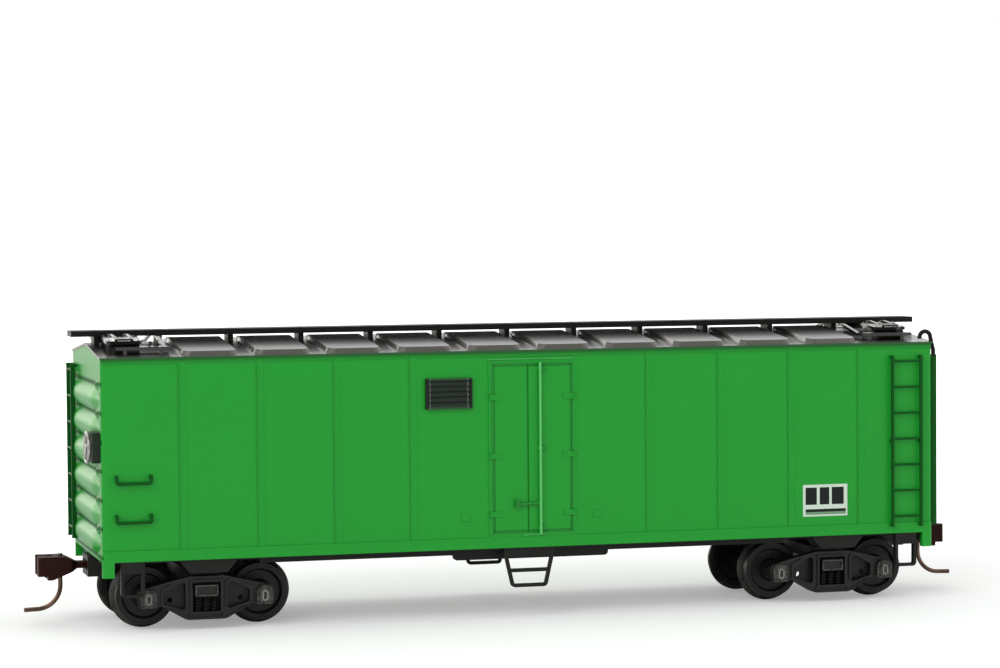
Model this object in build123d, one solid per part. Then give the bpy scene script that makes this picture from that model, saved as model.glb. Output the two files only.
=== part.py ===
from build123d import *
from math import atan2, cos, radians, sin, tan
import os

# Model of a 40-foot-class steel refrigerator freight car, scale 1:87, in millimetres.
# X runs along the car, Y across it and Z up. Heights are measured from the rail top.
# Every piece is stored higher by the flange depth, so that the flanges stand on the floor.

# Wheels and axles
tread_diameter = 9.6
tread_cone = 0.07
flange_depth = 0.65
flange_thickness = 0.8
flange_chamfer = 0.27
flange_crest = 0.14
wheel_width = 2.8
back_to_back = 14.4
rim_thickness = 1.0
web_recess = 0.7
web_slope = 0.35
hub_diameter = 3.4
axle_diameter = 2.2
wheel_seat_clearance = 0.01
shoulder_gap = 0.4
shoulder_length = 0.8
journal_diameter = 1.0
journal_clearance = 0.06
axle_point_length = 0.6
truck_wheelbase = 19.3

# Truck frames
frame_wheel_gap = 2.4
frame_thickness = 1.9
axle_bite = 0.4
journal_end_play = 0.15
pivot_gap = 0.15
truck_bolster_rise = 3.95
truck_bolster_width = 5.2
truck_bolster_thickness = 2.0
chord_rise = 3.4
chord_half_length = 3.0
chord_thickness = 0.95
foot_drop = 3.75
foot_half_length = 3.3
foot_thickness = 1.15
frame_end_reach = 1.65
frame_shoulder_setback = 2.2
frame_shoulder_rise = 2.35
frame_end_half_height = 1.35
frame_corner_radius = 0.7
frame_bend_radius = 2.5
rim_width = 0.35
rim_height = 0.3
window_inner_x = 3.5
window_setback = 2.45
window_radius = 0.45
window_crown = 0.35
window_web = 0.5
spring_window_half = 2.35
spring_web = 0.25
spring_seat_drop = 2.45
spring_top_rise = 0.1
spring_count = 3
spring_pitch = 1.4
spring_diameter = 1.3
spring_core_diameter = 0.8
spring_coils = 5
frame_hole_diameter = 0.9
frame_hole_x = 5.9
frame_hole_drop = 0.5
bolster_end_half = 1.9
bolster_end_height = 1.85
bolster_end_overhang = 0.3
bolster_end_lap = 1.2
bolster_end_rim = 0.25
bolster_end_recess = 0.25
journal_box_width = 2.7
journal_box_height = 3.1
journal_box_proud = 0.45
journal_box_arch = 1.2
journal_box_corner = 0.35
journal_boss_diameter = 2.6
journal_boss_gap = 0.4
lid_width = 1.9
lid_height = 2.5
lid_proud = 0.35
lid_draft = 20.0
lid_hinge_diameter = 0.5
lid_hinge_length = 1.3
pivot_hole_diameter = 2.6
screw_shank_diameter = 2.3
screw_core_diameter = 1.8
screw_head_diameter = 4.0
screw_head_height = 1.0
screw_slot_width = 0.5
screw_slot_depth = 0.4
screw_bite = 1.2

# Underframe
centre_plate_height = 2.0
centre_plate_diameter = 6.4
truck_end_inset = 17.45
floor_thickness = 1.0
floor_clearance = 0.1
centre_sill_width = 4.4
centre_sill_depth = 1.4
centre_sill_setback = 6.0
bolster_arm_width = 5.0
bolster_arm_depth = 1.05
bolster_end_top_width = 9.2
bolster_end_bottom_width = 6.2
bolster_end_drop = 2.25
bolster_end_length = 4.6
bolster_end_inset = 0.5
bolster_end_radius = 0.7
first_bearer = 9.5
bearer_pitch = 15.5
bearer_pairs = 2
bearer_thickness = 1.1
bearer_inner_depth = 1.2
bearer_outer_depth = 0.7
side_rail_inset = 3.4
side_rail_width = 1.0
side_rail_depth = 0.9
side_rail_end_gap = 9.0
door_stiffener_left = -13.0
door_stiffener_right = 14.2
door_stiffener_depth = 1.8
stiffener_radius = 0.7
end_sill_thickness = 0.9
end_sill_side_inset = 1.9
end_sill_depth = 1.0
weight_length = 116.0
weight_width = 25.0
weight_thickness = 1.6

# Brake gear under the floor
cylinder_x = -8.2
cylinder_y = 7.5
cylinder_diameter = 2.2
cylinder_length = 4.6
cylinder_rod_length = 3.4
cylinder_rod_diameter = 0.5
reservoir_x = 3.2
reservoir_y = 7.8
reservoir_diameter = 2.2
reservoir_length = 8.0
reservoir_dome_radius = 0.7
reservoir_hanger_spacing = 4.5
valve_x = 12.8
valve_y = 7.6
valve_size = 2.0
valve_drop = 1.6
valve_cap_diameter = 1.2
valve_cap_reach = 2.1
hanger_width = 1.2
hanger_drop = 0.4

# Body shell
body_length = 144.9
body_width = 35.0
wall = 1.0
body_corner_radius = 0.6
sill_drop = 0.4
side_height = 32.9
ridge_rise = 1.8
sill_band_height = 1.8
sill_band_proud = 0.25
top_band_height = 0.75
top_band_proud = 0.12
first_seam = 20.6
last_seam_inset = 13.3
seam_count = 4
seam_width = 1.1
seam_proud = 0.12

# Corrugated ends
rib_rows = 6
rib_pitch = 4.7
lowest_rib_rise = 2.8
rib_taper_length = 7.0
rib_proud = 0.85
rib_height = 4.1
rib_corner_gap = 0.1
dart_half_span = 3.1
dart_proud = 0.4
dart_height = 1.7
corner_foot_length = 1.9
corner_foot_drop = 2.5
corner_foot_thickness = 1.1

# Roof
roof_panels = 12
roof_strip_width = 2.4
roof_overhang = 0.3
roof_end_overhang = 0.15
eave_thickness = 0.35
panel_proud = 0.7
panel_draft = 0.45
panel_eave_margin = 0.5
panel_ridge_margin = 0.35
panel_corner_radius = 1.5

# Running board along the ridge
board_overhang = 2.75
board_width = 5.0
board_thickness = 0.95
board_rise = 1.4
plank_count = 3
plank_groove_width = 0.3
plank_groove_depth = 0.3
saddle_length = 0.9
saddle_width = 3.6
end_saddle_inset = 1.6

# Ice hatches and their platforms
platform_end_inset = 7.45
platform_side_inset = 4.2
platform_rise = 1.9
platform_length = 9.0
platform_width = 4.0
platform_thickness = 0.5
platform_slats = 4
platform_slat_gap = 0.3
platform_slat_depth = 0.25
platform_bracket_width = 0.6
platform_bracket_spacing = 6.0
strap_inset = 0.3
strap_width = 0.6
strap_thickness = 0.35
strap_board_gap = 0.25
hatch_end_inset = 4.9
hatch_platform_gap = 1.0
hatch_length = 5.2
hatch_width = 6.0
hatch_coaming_height = 1.1
hatch_lid_thickness = 0.55
hatch_lid_overhang = 0.35
hatch_lid_radius = 0.4
hatch_bar_width = 0.5
hatch_bar_height = 0.3
hatch_bar_spacing = 2.6

# Doors
door_opening_width = 13.8
door_sill_inset = 2.6
door_top_inset = 2.1
door_recess = 0.45
door_frame_width = 0.7
door_frame_proud = 0.15
door_leaf_proud = 0.12
door_gap = 0.35
door_meeting_gap = 0.2
door_meeting_x = -0.8
batten_width = 1.65
batten_proud = 0.13
lock_rod_batten_gap = 0.25
lock_rod_diameter = 0.5
lock_rod_standoff = 0.25
lock_rod_overrun = 0.35
keeper_height = 0.7
keeper_width = 1.1
handle_rise = 4.8
handle_reach = 4.4
handle_thickness = 0.35
handle_latch_height = 1.4
handle_latch_width = 0.7
hinge_rows = 3
hinge_low_inset = 3.1
hinge_high_inset = 5.5
hinge_length = 2.2
hinge_width = 0.9
hinge_proud = 0.15
hinge_barrel_diameter = 0.35

# Louvre left of each door
louvre_centre_x = -14.5
louvre_length = 8.0
louvre_top_inset = 4.2
louvre_height = 5.1
louvre_frame = 0.35
louvre_depth = 0.6
louvre_slats = 5
louvre_slat_thickness = 0.3

# Ladders
ladder_sill_inset = 1.2
ladder_top_inset = 1.95
ladder_width = 5.3
stile_thickness = 0.45
stile_depth = 0.5
end_stile_depth = 0.8
ladder_foot_height = 0.5
rung_setback = 0.25
side_ladder_standoff = 0.55
end_ladder_standoff = 0.45
rung_count = 7
lowest_rung_inset = 1.8
highest_rung_inset = 1.0
rung_diameter = 0.42
ladder_foot_rows = 3
side_ladder_end_inset = 5.0
end_ladder_side_inset = 3.9

# Grab irons
grab_length = 5.6
grab_diameter = 0.55
grab_standoff = 0.75
grab_rise = 1.1
grab_end_inset = 5.15
grab_rows = 2
lowest_grab = 6.45
grab_pitch = 6.35
roof_grab_span = 2.8
roof_grab_rise = 0.3
roof_grab_diameter = 0.6

# Steps
step_bar = 0.6
step_face_inset = 0.45
corner_step_end_inset = 4.9
corner_step_width = 3.9
corner_step_drop = 5.85
corner_step_flange = 1.95
corner_step_bar = 0.5
corner_step_face_inset = 0.15
corner_step_radius = 0.7
centre_step_x = -0.6
centre_step_top_width = 8.8
centre_step_bottom_width = 6.2
centre_step_plate = 1.65
centre_step_drop = 6.75
centre_step_radius = 0.8

# Hand brake
brake_wheel_diameter = 5.4
brake_wheel_rise = 18.6
brake_wheel_side_inset = 3.7
brake_wheel_rim = 0.5
brake_wheel_spokes = 5
brake_spoke_width = 0.45
brake_hub_diameter = 1.4
brake_housing_width = 5.2
brake_housing_height = 5.0
brake_housing_depth = 1.3
brake_housing_radius = 0.6
brake_wheel_gap = 0.3
brake_shaft_diameter = 0.7

# Couplers
coupler_height = 9.3
coupler_pivot_inset = 6.25
coupler_pivot_diameter = 1.6
coupler_pivot_clearance = 0.08
coupler_slack = 0.2
draft_box_width = 6.6
draft_box_length = 11.5
draft_box_overhang = 0.55
draft_box_wall = 0.6
draft_box_floor = 1.05
coupler_face_overhang = 8.65
head_gap = 1.5
head_width = 5.4
head_height = 3.2
head_front_length = 1.6
head_lip_drop = 0.65
head_lip_length = 0.8
head_corner_radius = 0.5
head_flare_length = 1.0
shank_width = 2.0
shank_height = 1.1
shank_eye_diameter = 3.4
throat_width = 1.5
throat_depth = 2.6
throat_radius = 0.22
guard_arm_thickness = 1.3
knuckle_setback = 1.5
nose_chamfer = 0.45
trip_pin_diameter = 0.75
trip_pin_setback = 3.9
trip_pin_rise = 2.0
trip_pin_bend_drop = 3.35
trip_pin_bend_radius = 3.9
trip_pin_bend_angle = 88.0
trip_pin_tail_length = 2.3
trip_pin_seat_clearance = 0.03

# Places that follow from the sizes, from the rail upward and from the middle outward
axle_z = tread_diameter / 2
axle_x = truck_wheelbase / 2
wheel_outer = back_to_back / 2 + wheel_width
axle_shoulder = wheel_outer + shoulder_gap
journal_shoulder = axle_shoulder + shoulder_length
frame_inner = wheel_outer + frame_wheel_gap
frame_outer = frame_inner + frame_thickness
axle_end = frame_inner + axle_bite
truck_bolster_top = axle_z + truck_bolster_rise
floor_bottom = truck_bolster_top + pivot_gap + centre_plate_height
floor_top = floor_bottom + floor_thickness
sill_bottom = floor_bottom + sill_drop
side_top = sill_bottom + side_height
ridge_height = side_top + ridge_rise
half_length = body_length / 2
half_width = body_width / 2
sheet_face = half_width - sill_band_proud
sheet_inner = half_length - wall
truck_x = half_length - truck_end_inset
roof_slope = atan2(ridge_height - side_top, sheet_face)
roof_pitch = body_length / roof_panels
board_bottom = ridge_height + board_rise
board_half_length = half_length + board_overhang
platform_x = half_length - platform_end_inset
platform_y = half_width - platform_side_inset
platform_top = side_top + platform_rise
door_bottom = sill_bottom + door_sill_inset
door_top = side_top - door_top_inset
batten_left = door_meeting_x + door_meeting_gap / 2
batten_right = batten_left + batten_width
lock_rod_x = batten_right + lock_rod_batten_gap
brake_wheel_z = sill_bottom + brake_wheel_rise
brake_wheel_y = half_width - brake_wheel_side_inset
coupler_pivot_x = half_length - coupler_pivot_inset
coupler_face_x = half_length + coupler_face_overhang
draft_box_front = half_length + draft_box_overhang
head_back = draft_box_front + head_gap
trip_pin_x = coupler_face_x - trip_pin_setback


def box_between(x_range, y_range, z_range):
    """A box given by its lowest and highest X, Y and Z."""
    x0, x1 = sorted(x_range)
    y0, y1 = sorted(y_range)
    z0, z1 = sorted(z_range)
    return Pos((x0 + x1) / 2, (y0 + y1) / 2, (z0 + z1) / 2) * Box(x1 - x0, y1 - y0, z1 - z0)


def centred(middle, width):
    """The lowest and highest value of a width about its middle."""
    return (middle - width / 2, middle + width / 2)


def rod_between(start, end, diameter):
    """A round rod from one point to another."""
    start, end = Vector(*start), Vector(*end)
    rod_plane = Plane(origin=start, z_dir=end - start)
    return extrude(rod_plane * Circle(diameter / 2), (end - start).length)


def turned(shape):
    """The same piece at the opposite corner, half a turn about the upright axis."""
    return Rot(0, 0, 180) * shape


def mirrored_across(shape):
    """The same piece on the other side of the car."""
    return mirror(shape, Plane.XZ)


def mirrored_along(shape):
    """The same piece at the other end of the car."""
    return mirror(shape, Plane.YZ)


def rounded_face(corners):
    """A flat face from corners given as (across, up, radius), each rounded by its own arc."""
    rounds = []
    for index, (across, up, radius) in enumerate(corners):
        corner = Vector(across, up)
        before = corners[index - 1]
        after = corners[(index + 1) % len(corners)]
        toward_before = (Vector(before[0], before[1]) - corner).normalized()
        toward_after = (Vector(after[0], after[1]) - corner).normalized()
        half_angle = radians(toward_before.get_angle(toward_after)) / 2
        reach = radius / tan(half_angle)
        bisector = (toward_before + toward_after).normalized()
        crown = corner + bisector * (radius / sin(half_angle) - radius)
        rounds.append((corner + toward_before * reach, crown, corner + toward_after * reach))
    edges = []
    for index, (enter, crown, leave) in enumerate(rounds):
        if corners[index][2] > 0:
            edges.append(ThreePointArc(enter, crown, leave))
        following = rounds[(index + 1) % len(rounds)][0]
        edges.append(Line(leave, following))
    return make_face(edges)


def plate(corners, thickness, plane):
    """A flat piece with rounded corners, extruded to both sides of a plane."""
    return extrude(plane * rounded_face(corners), thickness / 2, both=True)


def outlined(points, thickness, plane):
    """A flat piece with the outline of the points, extruded to both sides of a plane."""
    outline = plane * make_face(Polyline(*points, close=True))
    return extrude(outline, thickness / 2, both=True)


def both_ways(half_outline):
    """A closed outline from its right half, listed clockwise from the top's middle."""
    return half_outline + [(-across, up, radius) for across, up, radius in reversed(half_outline)]


def roof_height(y):
    """Height of the roof's underside at a distance from the centre line."""
    return ridge_height - (ridge_height - side_top) * abs(y) / sheet_face


def roof_surface(y):
    """Height of the roof strips' top face at a distance from the centre line."""
    return roof_height(y) + eave_thickness


def side_panel():
    """Near side: sheet with raised seams, sill and top bands, and the doorway's recess."""
    panel_x = (-sheet_inner, sheet_inner)
    panel = box_between(panel_x, (-sheet_face, wall - sheet_face), (sill_bottom, side_top))
    sill = (sill_bottom, sill_bottom + sill_band_height)
    panel += box_between(panel_x, (-half_width, -sheet_face), sill)
    top = (side_top - top_band_height, side_top)
    panel += box_between(panel_x, (-sheet_face - top_band_proud, -sheet_face), top)
    seam_pitch = (half_length - last_seam_inset - first_seam) / (seam_count - 1)
    for number in range(seam_count):
        for hand in (-1, 1):
            seam_x = hand * (first_seam + number * seam_pitch)
            seam_y = (-sheet_face - seam_proud, -sheet_face)
            panel += box_between(centred(seam_x, seam_width), seam_y, (sill[1], top[0]))
    frame_y = (-sheet_face - door_frame_proud, -sheet_face)
    frame_x = centred(0, door_opening_width + 2 * door_frame_width)
    panel += box_between(frame_x, frame_y, (sill[1], door_top + door_frame_width))
    doorway_y = (-half_width - wall, -sheet_face + door_recess)
    panel -= box_between(centred(0, door_opening_width), doorway_y, (door_bottom, door_top))
    return panel


def leaf_rib(height, proud, half_span, taper):
    """A leaf-shaped rib: the part of a spindle, laid across the end, that stands in front of
    the sheet. Its middle keeps one section and its ends run out to points along S-curves."""
    axis_depth = ((height / 2) ** 2 - proud ** 2) / (2 * proud)
    middle_radius = axis_depth + proud
    straight = half_span - taper
    along = (0, 1)
    edges = [
        Spline([(axis_depth, -half_span), (middle_radius, -straight)], tangents=[along, along]),
        Spline([(middle_radius, straight), (axis_depth, half_span)], tangents=[along, along]),
        Line((axis_depth, half_span), (0, half_span)),
        Line((0, half_span), (0, -half_span)),
        Line((0, -half_span), (axis_depth, -half_span)),
    ]
    if straight > 0:
        edges.append(Line((middle_radius, -straight), (middle_radius, straight)))
    spindle = revolve(Plane.XY * make_face(edges), Axis.Y)
    in_front = (axis_depth, middle_radius + wall)
    rib = spindle & box_between(in_front, (-half_span, half_span), (-height, height))
    return Pos(-axis_depth, 0, 0) * rib


def end_sheet(half, low, high):
    """The end's sheet between two heights, with round outer corners at a distance from the
    centre line."""
    plan = [
        (sheet_inner, -half, 0),
        (half_length, -half, body_corner_radius),
        (half_length, half, body_corner_radius),
        (sheet_inner, half, 0),
    ]
    return Pos(0, 0, (low + high) / 2) * plate(plan, high - low, Plane.XY)


def end_panel():
    """End at +X: gabled sheet with main ribs, small darts at both edges and corner feet."""
    gable = [
        (-half_width, sill_bottom),
        (half_width, sill_bottom),
        (half_width, roof_height(half_width)),
        (0, ridge_height),
        (-half_width, roof_height(half_width)),
    ]
    panel = end_sheet(sheet_face, sill_bottom, ridge_height)
    panel += end_sheet(half_width, sill_bottom, sill_bottom + sill_band_height)
    panel += end_sheet(sheet_face + top_band_proud, side_top - top_band_height, side_top)
    panel &= Pos(half_length - wall / 2, 0, 0) * outlined(gable, wall, Plane.YZ)
    flat_half = sheet_face - body_corner_radius - rib_corner_gap
    main_rib = leaf_rib(rib_height, rib_proud, flat_half, rib_taper_length)
    dart = leaf_rib(dart_height, dart_proud, dart_half_span, dart_half_span)
    for row in range(rib_rows):
        rib_z = sill_bottom + lowest_rib_rise + row * rib_pitch
        panel += Pos(half_length, 0, rib_z) * main_rib
        for hand in (-1, 1):
            dart_y = hand * (flat_half - dart_half_span)
            panel += Pos(half_length, dart_y, rib_z + rib_pitch / 2) * dart
    foot_plan = [
        (half_length - corner_foot_length, -half_width, 0),
        (half_length, -half_width, body_corner_radius),
        (half_length, corner_foot_thickness - half_width, 0),
        (half_length - corner_foot_length, corner_foot_thickness - half_width, 0),
    ]
    foot_middle = sill_bottom - corner_foot_drop / 2
    foot = Pos(0, 0, foot_middle) * plate(foot_plan, corner_foot_drop, Plane.XY)
    panel += [foot, mirrored_across(foot)]
    return panel


def slope_plane(x, y):
    """Plane on the near slope's top face at a place given by X and by Y from the centre."""
    origin = (x, -y, roof_surface(y))
    return Plane(origin=origin, x_dir=(1, 0, 0), z_dir=(0, -sin(roof_slope), cos(roof_slope)))


def panel_outline(width, low, high):
    """Outline of a raised roof panel: round at its two eave corners, square at the ridge."""
    half = width / 2
    return rounded_face([
        (-half, low, panel_corner_radius),
        (half, low, panel_corner_radius),
        (half, high, 0),
        (-half, high, 0),
    ])


def raised_panel(centre_x):
    """One raised roof panel on the near slope, with drafted edges."""
    eave_side = sheet_face - panel_eave_margin
    half_reach = (eave_side - panel_ridge_margin) / cos(roof_slope) / 2
    pad_width = roof_pitch - roof_strip_width
    pad_plane = slope_plane(centre_x, (eave_side + panel_ridge_margin) / 2)
    root_plane = pad_plane * Pos(0, 0, -eave_thickness / 2)
    root = root_plane * panel_outline(pad_width, -half_reach, half_reach)
    crown_width = pad_width - 2 * panel_draft
    crown_plane = pad_plane * Pos(0, 0, panel_proud)
    crown = crown_plane * panel_outline(crown_width, panel_draft - half_reach, half_reach)
    return loft([root.face(), crown.face()])


def roof_shell():
    """Roof: a sheet over sides and ends, its lining between the ends, and raised panels
    between plain strips."""
    eave_y = sheet_face + roof_overhang
    inner_y = sheet_face - wall
    sheet = [
        (-eave_y, side_top),
        (-eave_y, roof_surface(eave_y)),
        (0, roof_surface(0)),
        (eave_y, roof_surface(eave_y)),
        (eave_y, side_top),
        (sheet_face, side_top),
        (0, ridge_height),
        (-sheet_face, side_top),
    ]
    lining = [
        (-sheet_face, side_top),
        (0, roof_surface(0)),
        (sheet_face, side_top),
        (inner_y, side_top),
        (0, roof_surface(0) - wall),
        (-inner_y, side_top),
    ]
    roof = outlined(sheet, 2 * (half_length + roof_end_overhang), Plane.YZ)
    roof += outlined(lining, 2 * sheet_inner, Plane.YZ)
    for number in range(1, roof_panels - 1):
        near = raised_panel((number + 1 / 2) * roof_pitch - half_length)
        roof += [near, mirrored_across(near)]
    return roof


def running_board():
    """Plank walk along the ridge: one moulding with a groove between planks."""
    board_x = (-board_half_length, board_half_length)
    board_top = board_bottom + board_thickness
    board = box_between(board_x, centred(0, board_width), (board_bottom, board_top))
    plank_pitch = board_width / plank_count
    for number in range(1, plank_count):
        groove = centred(number * plank_pitch - board_width / 2, plank_groove_width)
        board -= box_between(board_x, groove, (board_top - plank_groove_depth, board_top))
    return board


def board_saddles():
    """Saddles that carry the running board: one on each roof strip and one at each end."""
    half = saddle_width / 2
    section = [
        (-half, roof_surface(half)),
        (0, roof_surface(0)),
        (half, roof_surface(half)),
        (half, board_bottom),
        (-half, board_bottom),
    ]
    saddle = outlined(section, saddle_length, Plane.YZ)
    places = [number * roof_pitch - half_length for number in range(1, roof_panels)]
    places += [half_length - end_saddle_inset, end_saddle_inset - half_length]
    return Compound(children=[Pos(x, 0, 0) * saddle for x in places])


def ice_hatch():
    """Hatch at the near right corner: coaming on the slope, overhanging lid and its bars."""
    hatch_x = half_length - hatch_end_inset
    lid_length = hatch_length + 2 * hatch_lid_overhang
    lid_width = hatch_width + 2 * hatch_lid_overhang
    hatch_y = platform_y - platform_width / 2 - hatch_platform_gap - lid_width / 2
    lid_top = hatch_coaming_height + hatch_lid_thickness
    coaming = Pos(0, 0, hatch_coaming_height / 2) * Box(hatch_length, hatch_width, hatch_coaming_height)
    lid_outline = RectangleRounded(lid_length, lid_width, hatch_lid_radius)
    hatch = coaming + extrude(Pos(0, 0, hatch_coaming_height) * lid_outline, hatch_lid_thickness)
    for hand in (-1, 1):
        bar = Box(hatch_bar_width, lid_width, hatch_bar_height)
        hatch += Pos(hand * hatch_bar_spacing / 2, 0, lid_top + hatch_bar_height / 2) * bar
    return slope_plane(hatch_x, hatch_y) * hatch


def hatch_platform():
    """Slatted platform outboard of the near right hatch, on two brackets, with the strap that
    ties its inner end to the running board."""
    near = -(platform_y + platform_width / 2)
    far = -(platform_y - platform_width / 2)
    left = platform_x - platform_length / 2
    bottom = platform_top - platform_thickness
    platform_span = centred(platform_x, platform_length)
    platform = box_between(platform_span, (near, far), (bottom, platform_top))
    slat_pitch = platform_width / platform_slats
    for number in range(1, platform_slats):
        gap = centred(near + number * slat_pitch, platform_slat_gap)
        platform -= box_between(platform_span, gap, (platform_top - platform_slat_depth, platform_top))
    foot_near = near + platform_bracket_width
    foot_far = far - platform_bracket_width
    foot = [
        (foot_near, bottom),
        (foot_near, roof_surface(foot_near)),
        (foot_far, roof_surface(foot_far)),
        (foot_far, bottom),
    ]
    bracket = outlined(foot, platform_bracket_width, Plane.YZ)
    for hand in (-1, 1):
        platform += Pos(platform_x + hand * platform_bracket_spacing / 2, 0, 0) * bracket
    board_edge = -board_width / 2 - strap_board_gap
    strap = [
        (far, bottom),
        (far, platform_top),
        (board_edge, board_bottom + strap_thickness),
        (board_edge, board_bottom),
    ]
    strap_x = left + strap_inset + strap_width / 2
    platform += Pos(strap_x, 0, 0) * outlined(strap, strap_width, Plane.YZ)
    return platform


def roof_grab():
    """Bent bar that runs on from the end ladder's outer stile over the near right corner."""
    grab_y = half_width - end_ladder_side_inset + ladder_width / 2
    leg_x = half_length + end_ladder_standoff + end_stile_depth / 2
    foot_x = leg_x - roof_grab_span
    bend_z = roof_surface(grab_y) + roof_grab_rise
    foot_z = roof_surface(grab_y - roof_grab_diameter / 2)
    crown = (leg_x - roof_grab_span / 2, -grab_y, bend_z + roof_grab_span / 2)
    leg = Line((leg_x, -grab_y, side_top - ladder_top_inset), (leg_x, -grab_y, bend_z))
    bend = ThreePointArc((leg_x, -grab_y, bend_z), crown, (foot_x, -grab_y, bend_z))
    foot = Line((foot_x, -grab_y, bend_z), (foot_x, -grab_y, foot_z))
    start = Plane(origin=leg @ 0, z_dir=leg % 0)
    return sweep(start * Circle(roof_grab_diameter / 2), path=Wire([leg, bend, foot]))


def door_pair():
    """Two plain swing leaves in the near doorway, with meeting batten and hinges."""
    back = -(sheet_face - door_recess)
    front = -(sheet_face + door_leaf_proud)
    frame_front = -(sheet_face + door_frame_proud)
    half_opening = door_opening_width / 2
    height = (door_bottom + door_gap, door_top - door_gap)
    left_leaf_x = (door_gap - half_opening, door_meeting_x - door_meeting_gap / 2)
    right_leaf_x = (batten_left, half_opening - door_gap)
    left_leaf = box_between(left_leaf_x, (back, front), height)
    right_leaf = box_between(right_leaf_x, (back, front), height)
    right_leaf += box_between((batten_left, batten_right), (front, front - batten_proud), height)
    first_hinge = door_bottom + hinge_low_inset
    hinge_pitch = (door_top - hinge_high_inset - first_hinge) / (hinge_rows - 1)
    leaves = []
    for leaf, hand in ((left_leaf, -1), (right_leaf, 1)):
        edge = hand * half_opening
        outer = edge + hand * door_frame_width
        tip = outer - hand * hinge_length
        barrel_x = edge + hand * door_frame_width / 2
        barrel_y = frame_front - hinge_barrel_diameter / 2
        for row in range(hinge_rows):
            low, high = centred(first_hinge + row * hinge_pitch, hinge_width)
            strap_y = (frame_front, frame_front - hinge_proud)
            leaf += box_between((outer, tip), strap_y, (low, high))
            barrel_ends = ((barrel_x, barrel_y, low), (barrel_x, barrel_y, high))
            leaf += rod_between(barrel_ends[0], barrel_ends[1], hinge_barrel_diameter)
            leaf += box_between((edge - hand * door_gap, tip), (front, frame_front), (low, high))
        leaves.append(leaf)
    return Compound(children=leaves)


def door_lock():
    """Lock rod from sill to top rail on its keepers, with the handle across the leaves."""
    leaf_front = -(sheet_face + door_leaf_proud)
    batten_front = leaf_front - batten_proud
    rod_y = batten_front - lock_rod_standoff - lock_rod_diameter / 2
    rod_low = door_bottom - lock_rod_overrun
    rod_high = door_top + lock_rod_overrun
    lock = rod_between((lock_rod_x, rod_y, rod_low), (lock_rod_x, rod_y, rod_high), lock_rod_diameter)
    keeper_x = (batten_right, batten_right + keeper_width)
    for keeper_z in (door_bottom + keeper_height, (door_bottom + door_top) / 2, door_top - keeper_height):
        lock += box_between(keeper_x, (leaf_front, rod_y), centred(keeper_z, keeper_height))
    handle_z = door_bottom + handle_rise
    handle_tip = lock_rod_x - handle_reach
    lock += box_between((handle_tip, lock_rod_x), (batten_front, rod_y), centred(handle_z, handle_thickness))
    latch_x = (handle_tip, handle_tip + handle_latch_width)
    lock += box_between(latch_x, (leaf_front, rod_y), centred(handle_z, handle_latch_height))
    return lock


def louvre():
    """Framed louvre on the near side, with sloping slats."""
    back = -sheet_face
    front = -(sheet_face + louvre_depth)
    louvre_top = side_top - louvre_top_inset
    louvre_bottom = louvre_top - louvre_height
    louvre_x = centred(louvre_centre_x, louvre_length)
    frame = box_between(louvre_x, (back, front), (louvre_bottom, louvre_top))
    opening_x = centred(louvre_centre_x, louvre_length - 2 * louvre_frame)
    opening_low = louvre_bottom + louvre_frame
    opening_high = louvre_top - louvre_frame
    floor_y = back - louvre_slat_thickness
    frame -= box_between(opening_x, (floor_y, front), (opening_low, opening_high))
    slat_pitch = (opening_high - opening_low) / louvre_slats
    for number in range(louvre_slats):
        slat_z = opening_low + number * slat_pitch
        slat = [(floor_y, slat_z + slat_pitch), (front, slat_z), (floor_y, slat_z)]
        frame += Pos(louvre_centre_x, 0, 0) * outlined(slat, opening_x[1] - opening_x[0], Plane.YZ)
    return frame


def ladder(standoff, depth):
    """Ladder against a wall at Y = 0, centred on X = 0 and standing out toward -Y."""
    ladder_bottom = sill_bottom + ladder_sill_inset
    ladder_top = side_top - ladder_top_inset
    stile_y = (-standoff, -standoff - depth)
    foot_pitch = (ladder_top - ladder_bottom - ladder_foot_height) / (ladder_foot_rows - 1)
    pieces = []
    for hand in (-1, 1):
        stile_x = centred(hand * ladder_width / 2, stile_thickness)
        pieces.append(box_between(stile_x, stile_y, (ladder_bottom, ladder_top)))
        for row in range(ladder_foot_rows):
            foot_low = ladder_bottom + row * foot_pitch
            foot_z = (foot_low, foot_low + ladder_foot_height)
            pieces.append(box_between(stile_x, (0, -standoff), foot_z))
    first_rung = ladder_bottom + lowest_rung_inset
    rung_pitch = (ladder_top - highest_rung_inset - first_rung) / (rung_count - 1)
    rung_y = rung_setback - standoff - depth
    for row in range(rung_count):
        rung_z = first_rung + row * rung_pitch
        left_end = (-ladder_width / 2, rung_y, rung_z)
        pieces.append(rod_between(left_end, (ladder_width / 2, rung_y, rung_z), rung_diameter))
    frame = pieces[0]
    frame += pieces[1:]
    return frame


def grab_iron():
    """Grab iron against a wall at Y = 0: a bar whose ends rise and turn to the wall."""
    half = grab_length / 2
    bar = rod_between((-half, -grab_standoff, 0), (half, -grab_standoff, 0), grab_diameter)
    bend_front = -grab_standoff - grab_diameter / 2
    for hand in (-1, 1):
        x = hand * half
        bar += rod_between((x, -grab_standoff, 0), (x, -grab_standoff, grab_rise), grab_diameter)
        bar += rod_between((x, bend_front, grab_rise), (x, 0, grab_rise), grab_diameter)
    return bar


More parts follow.
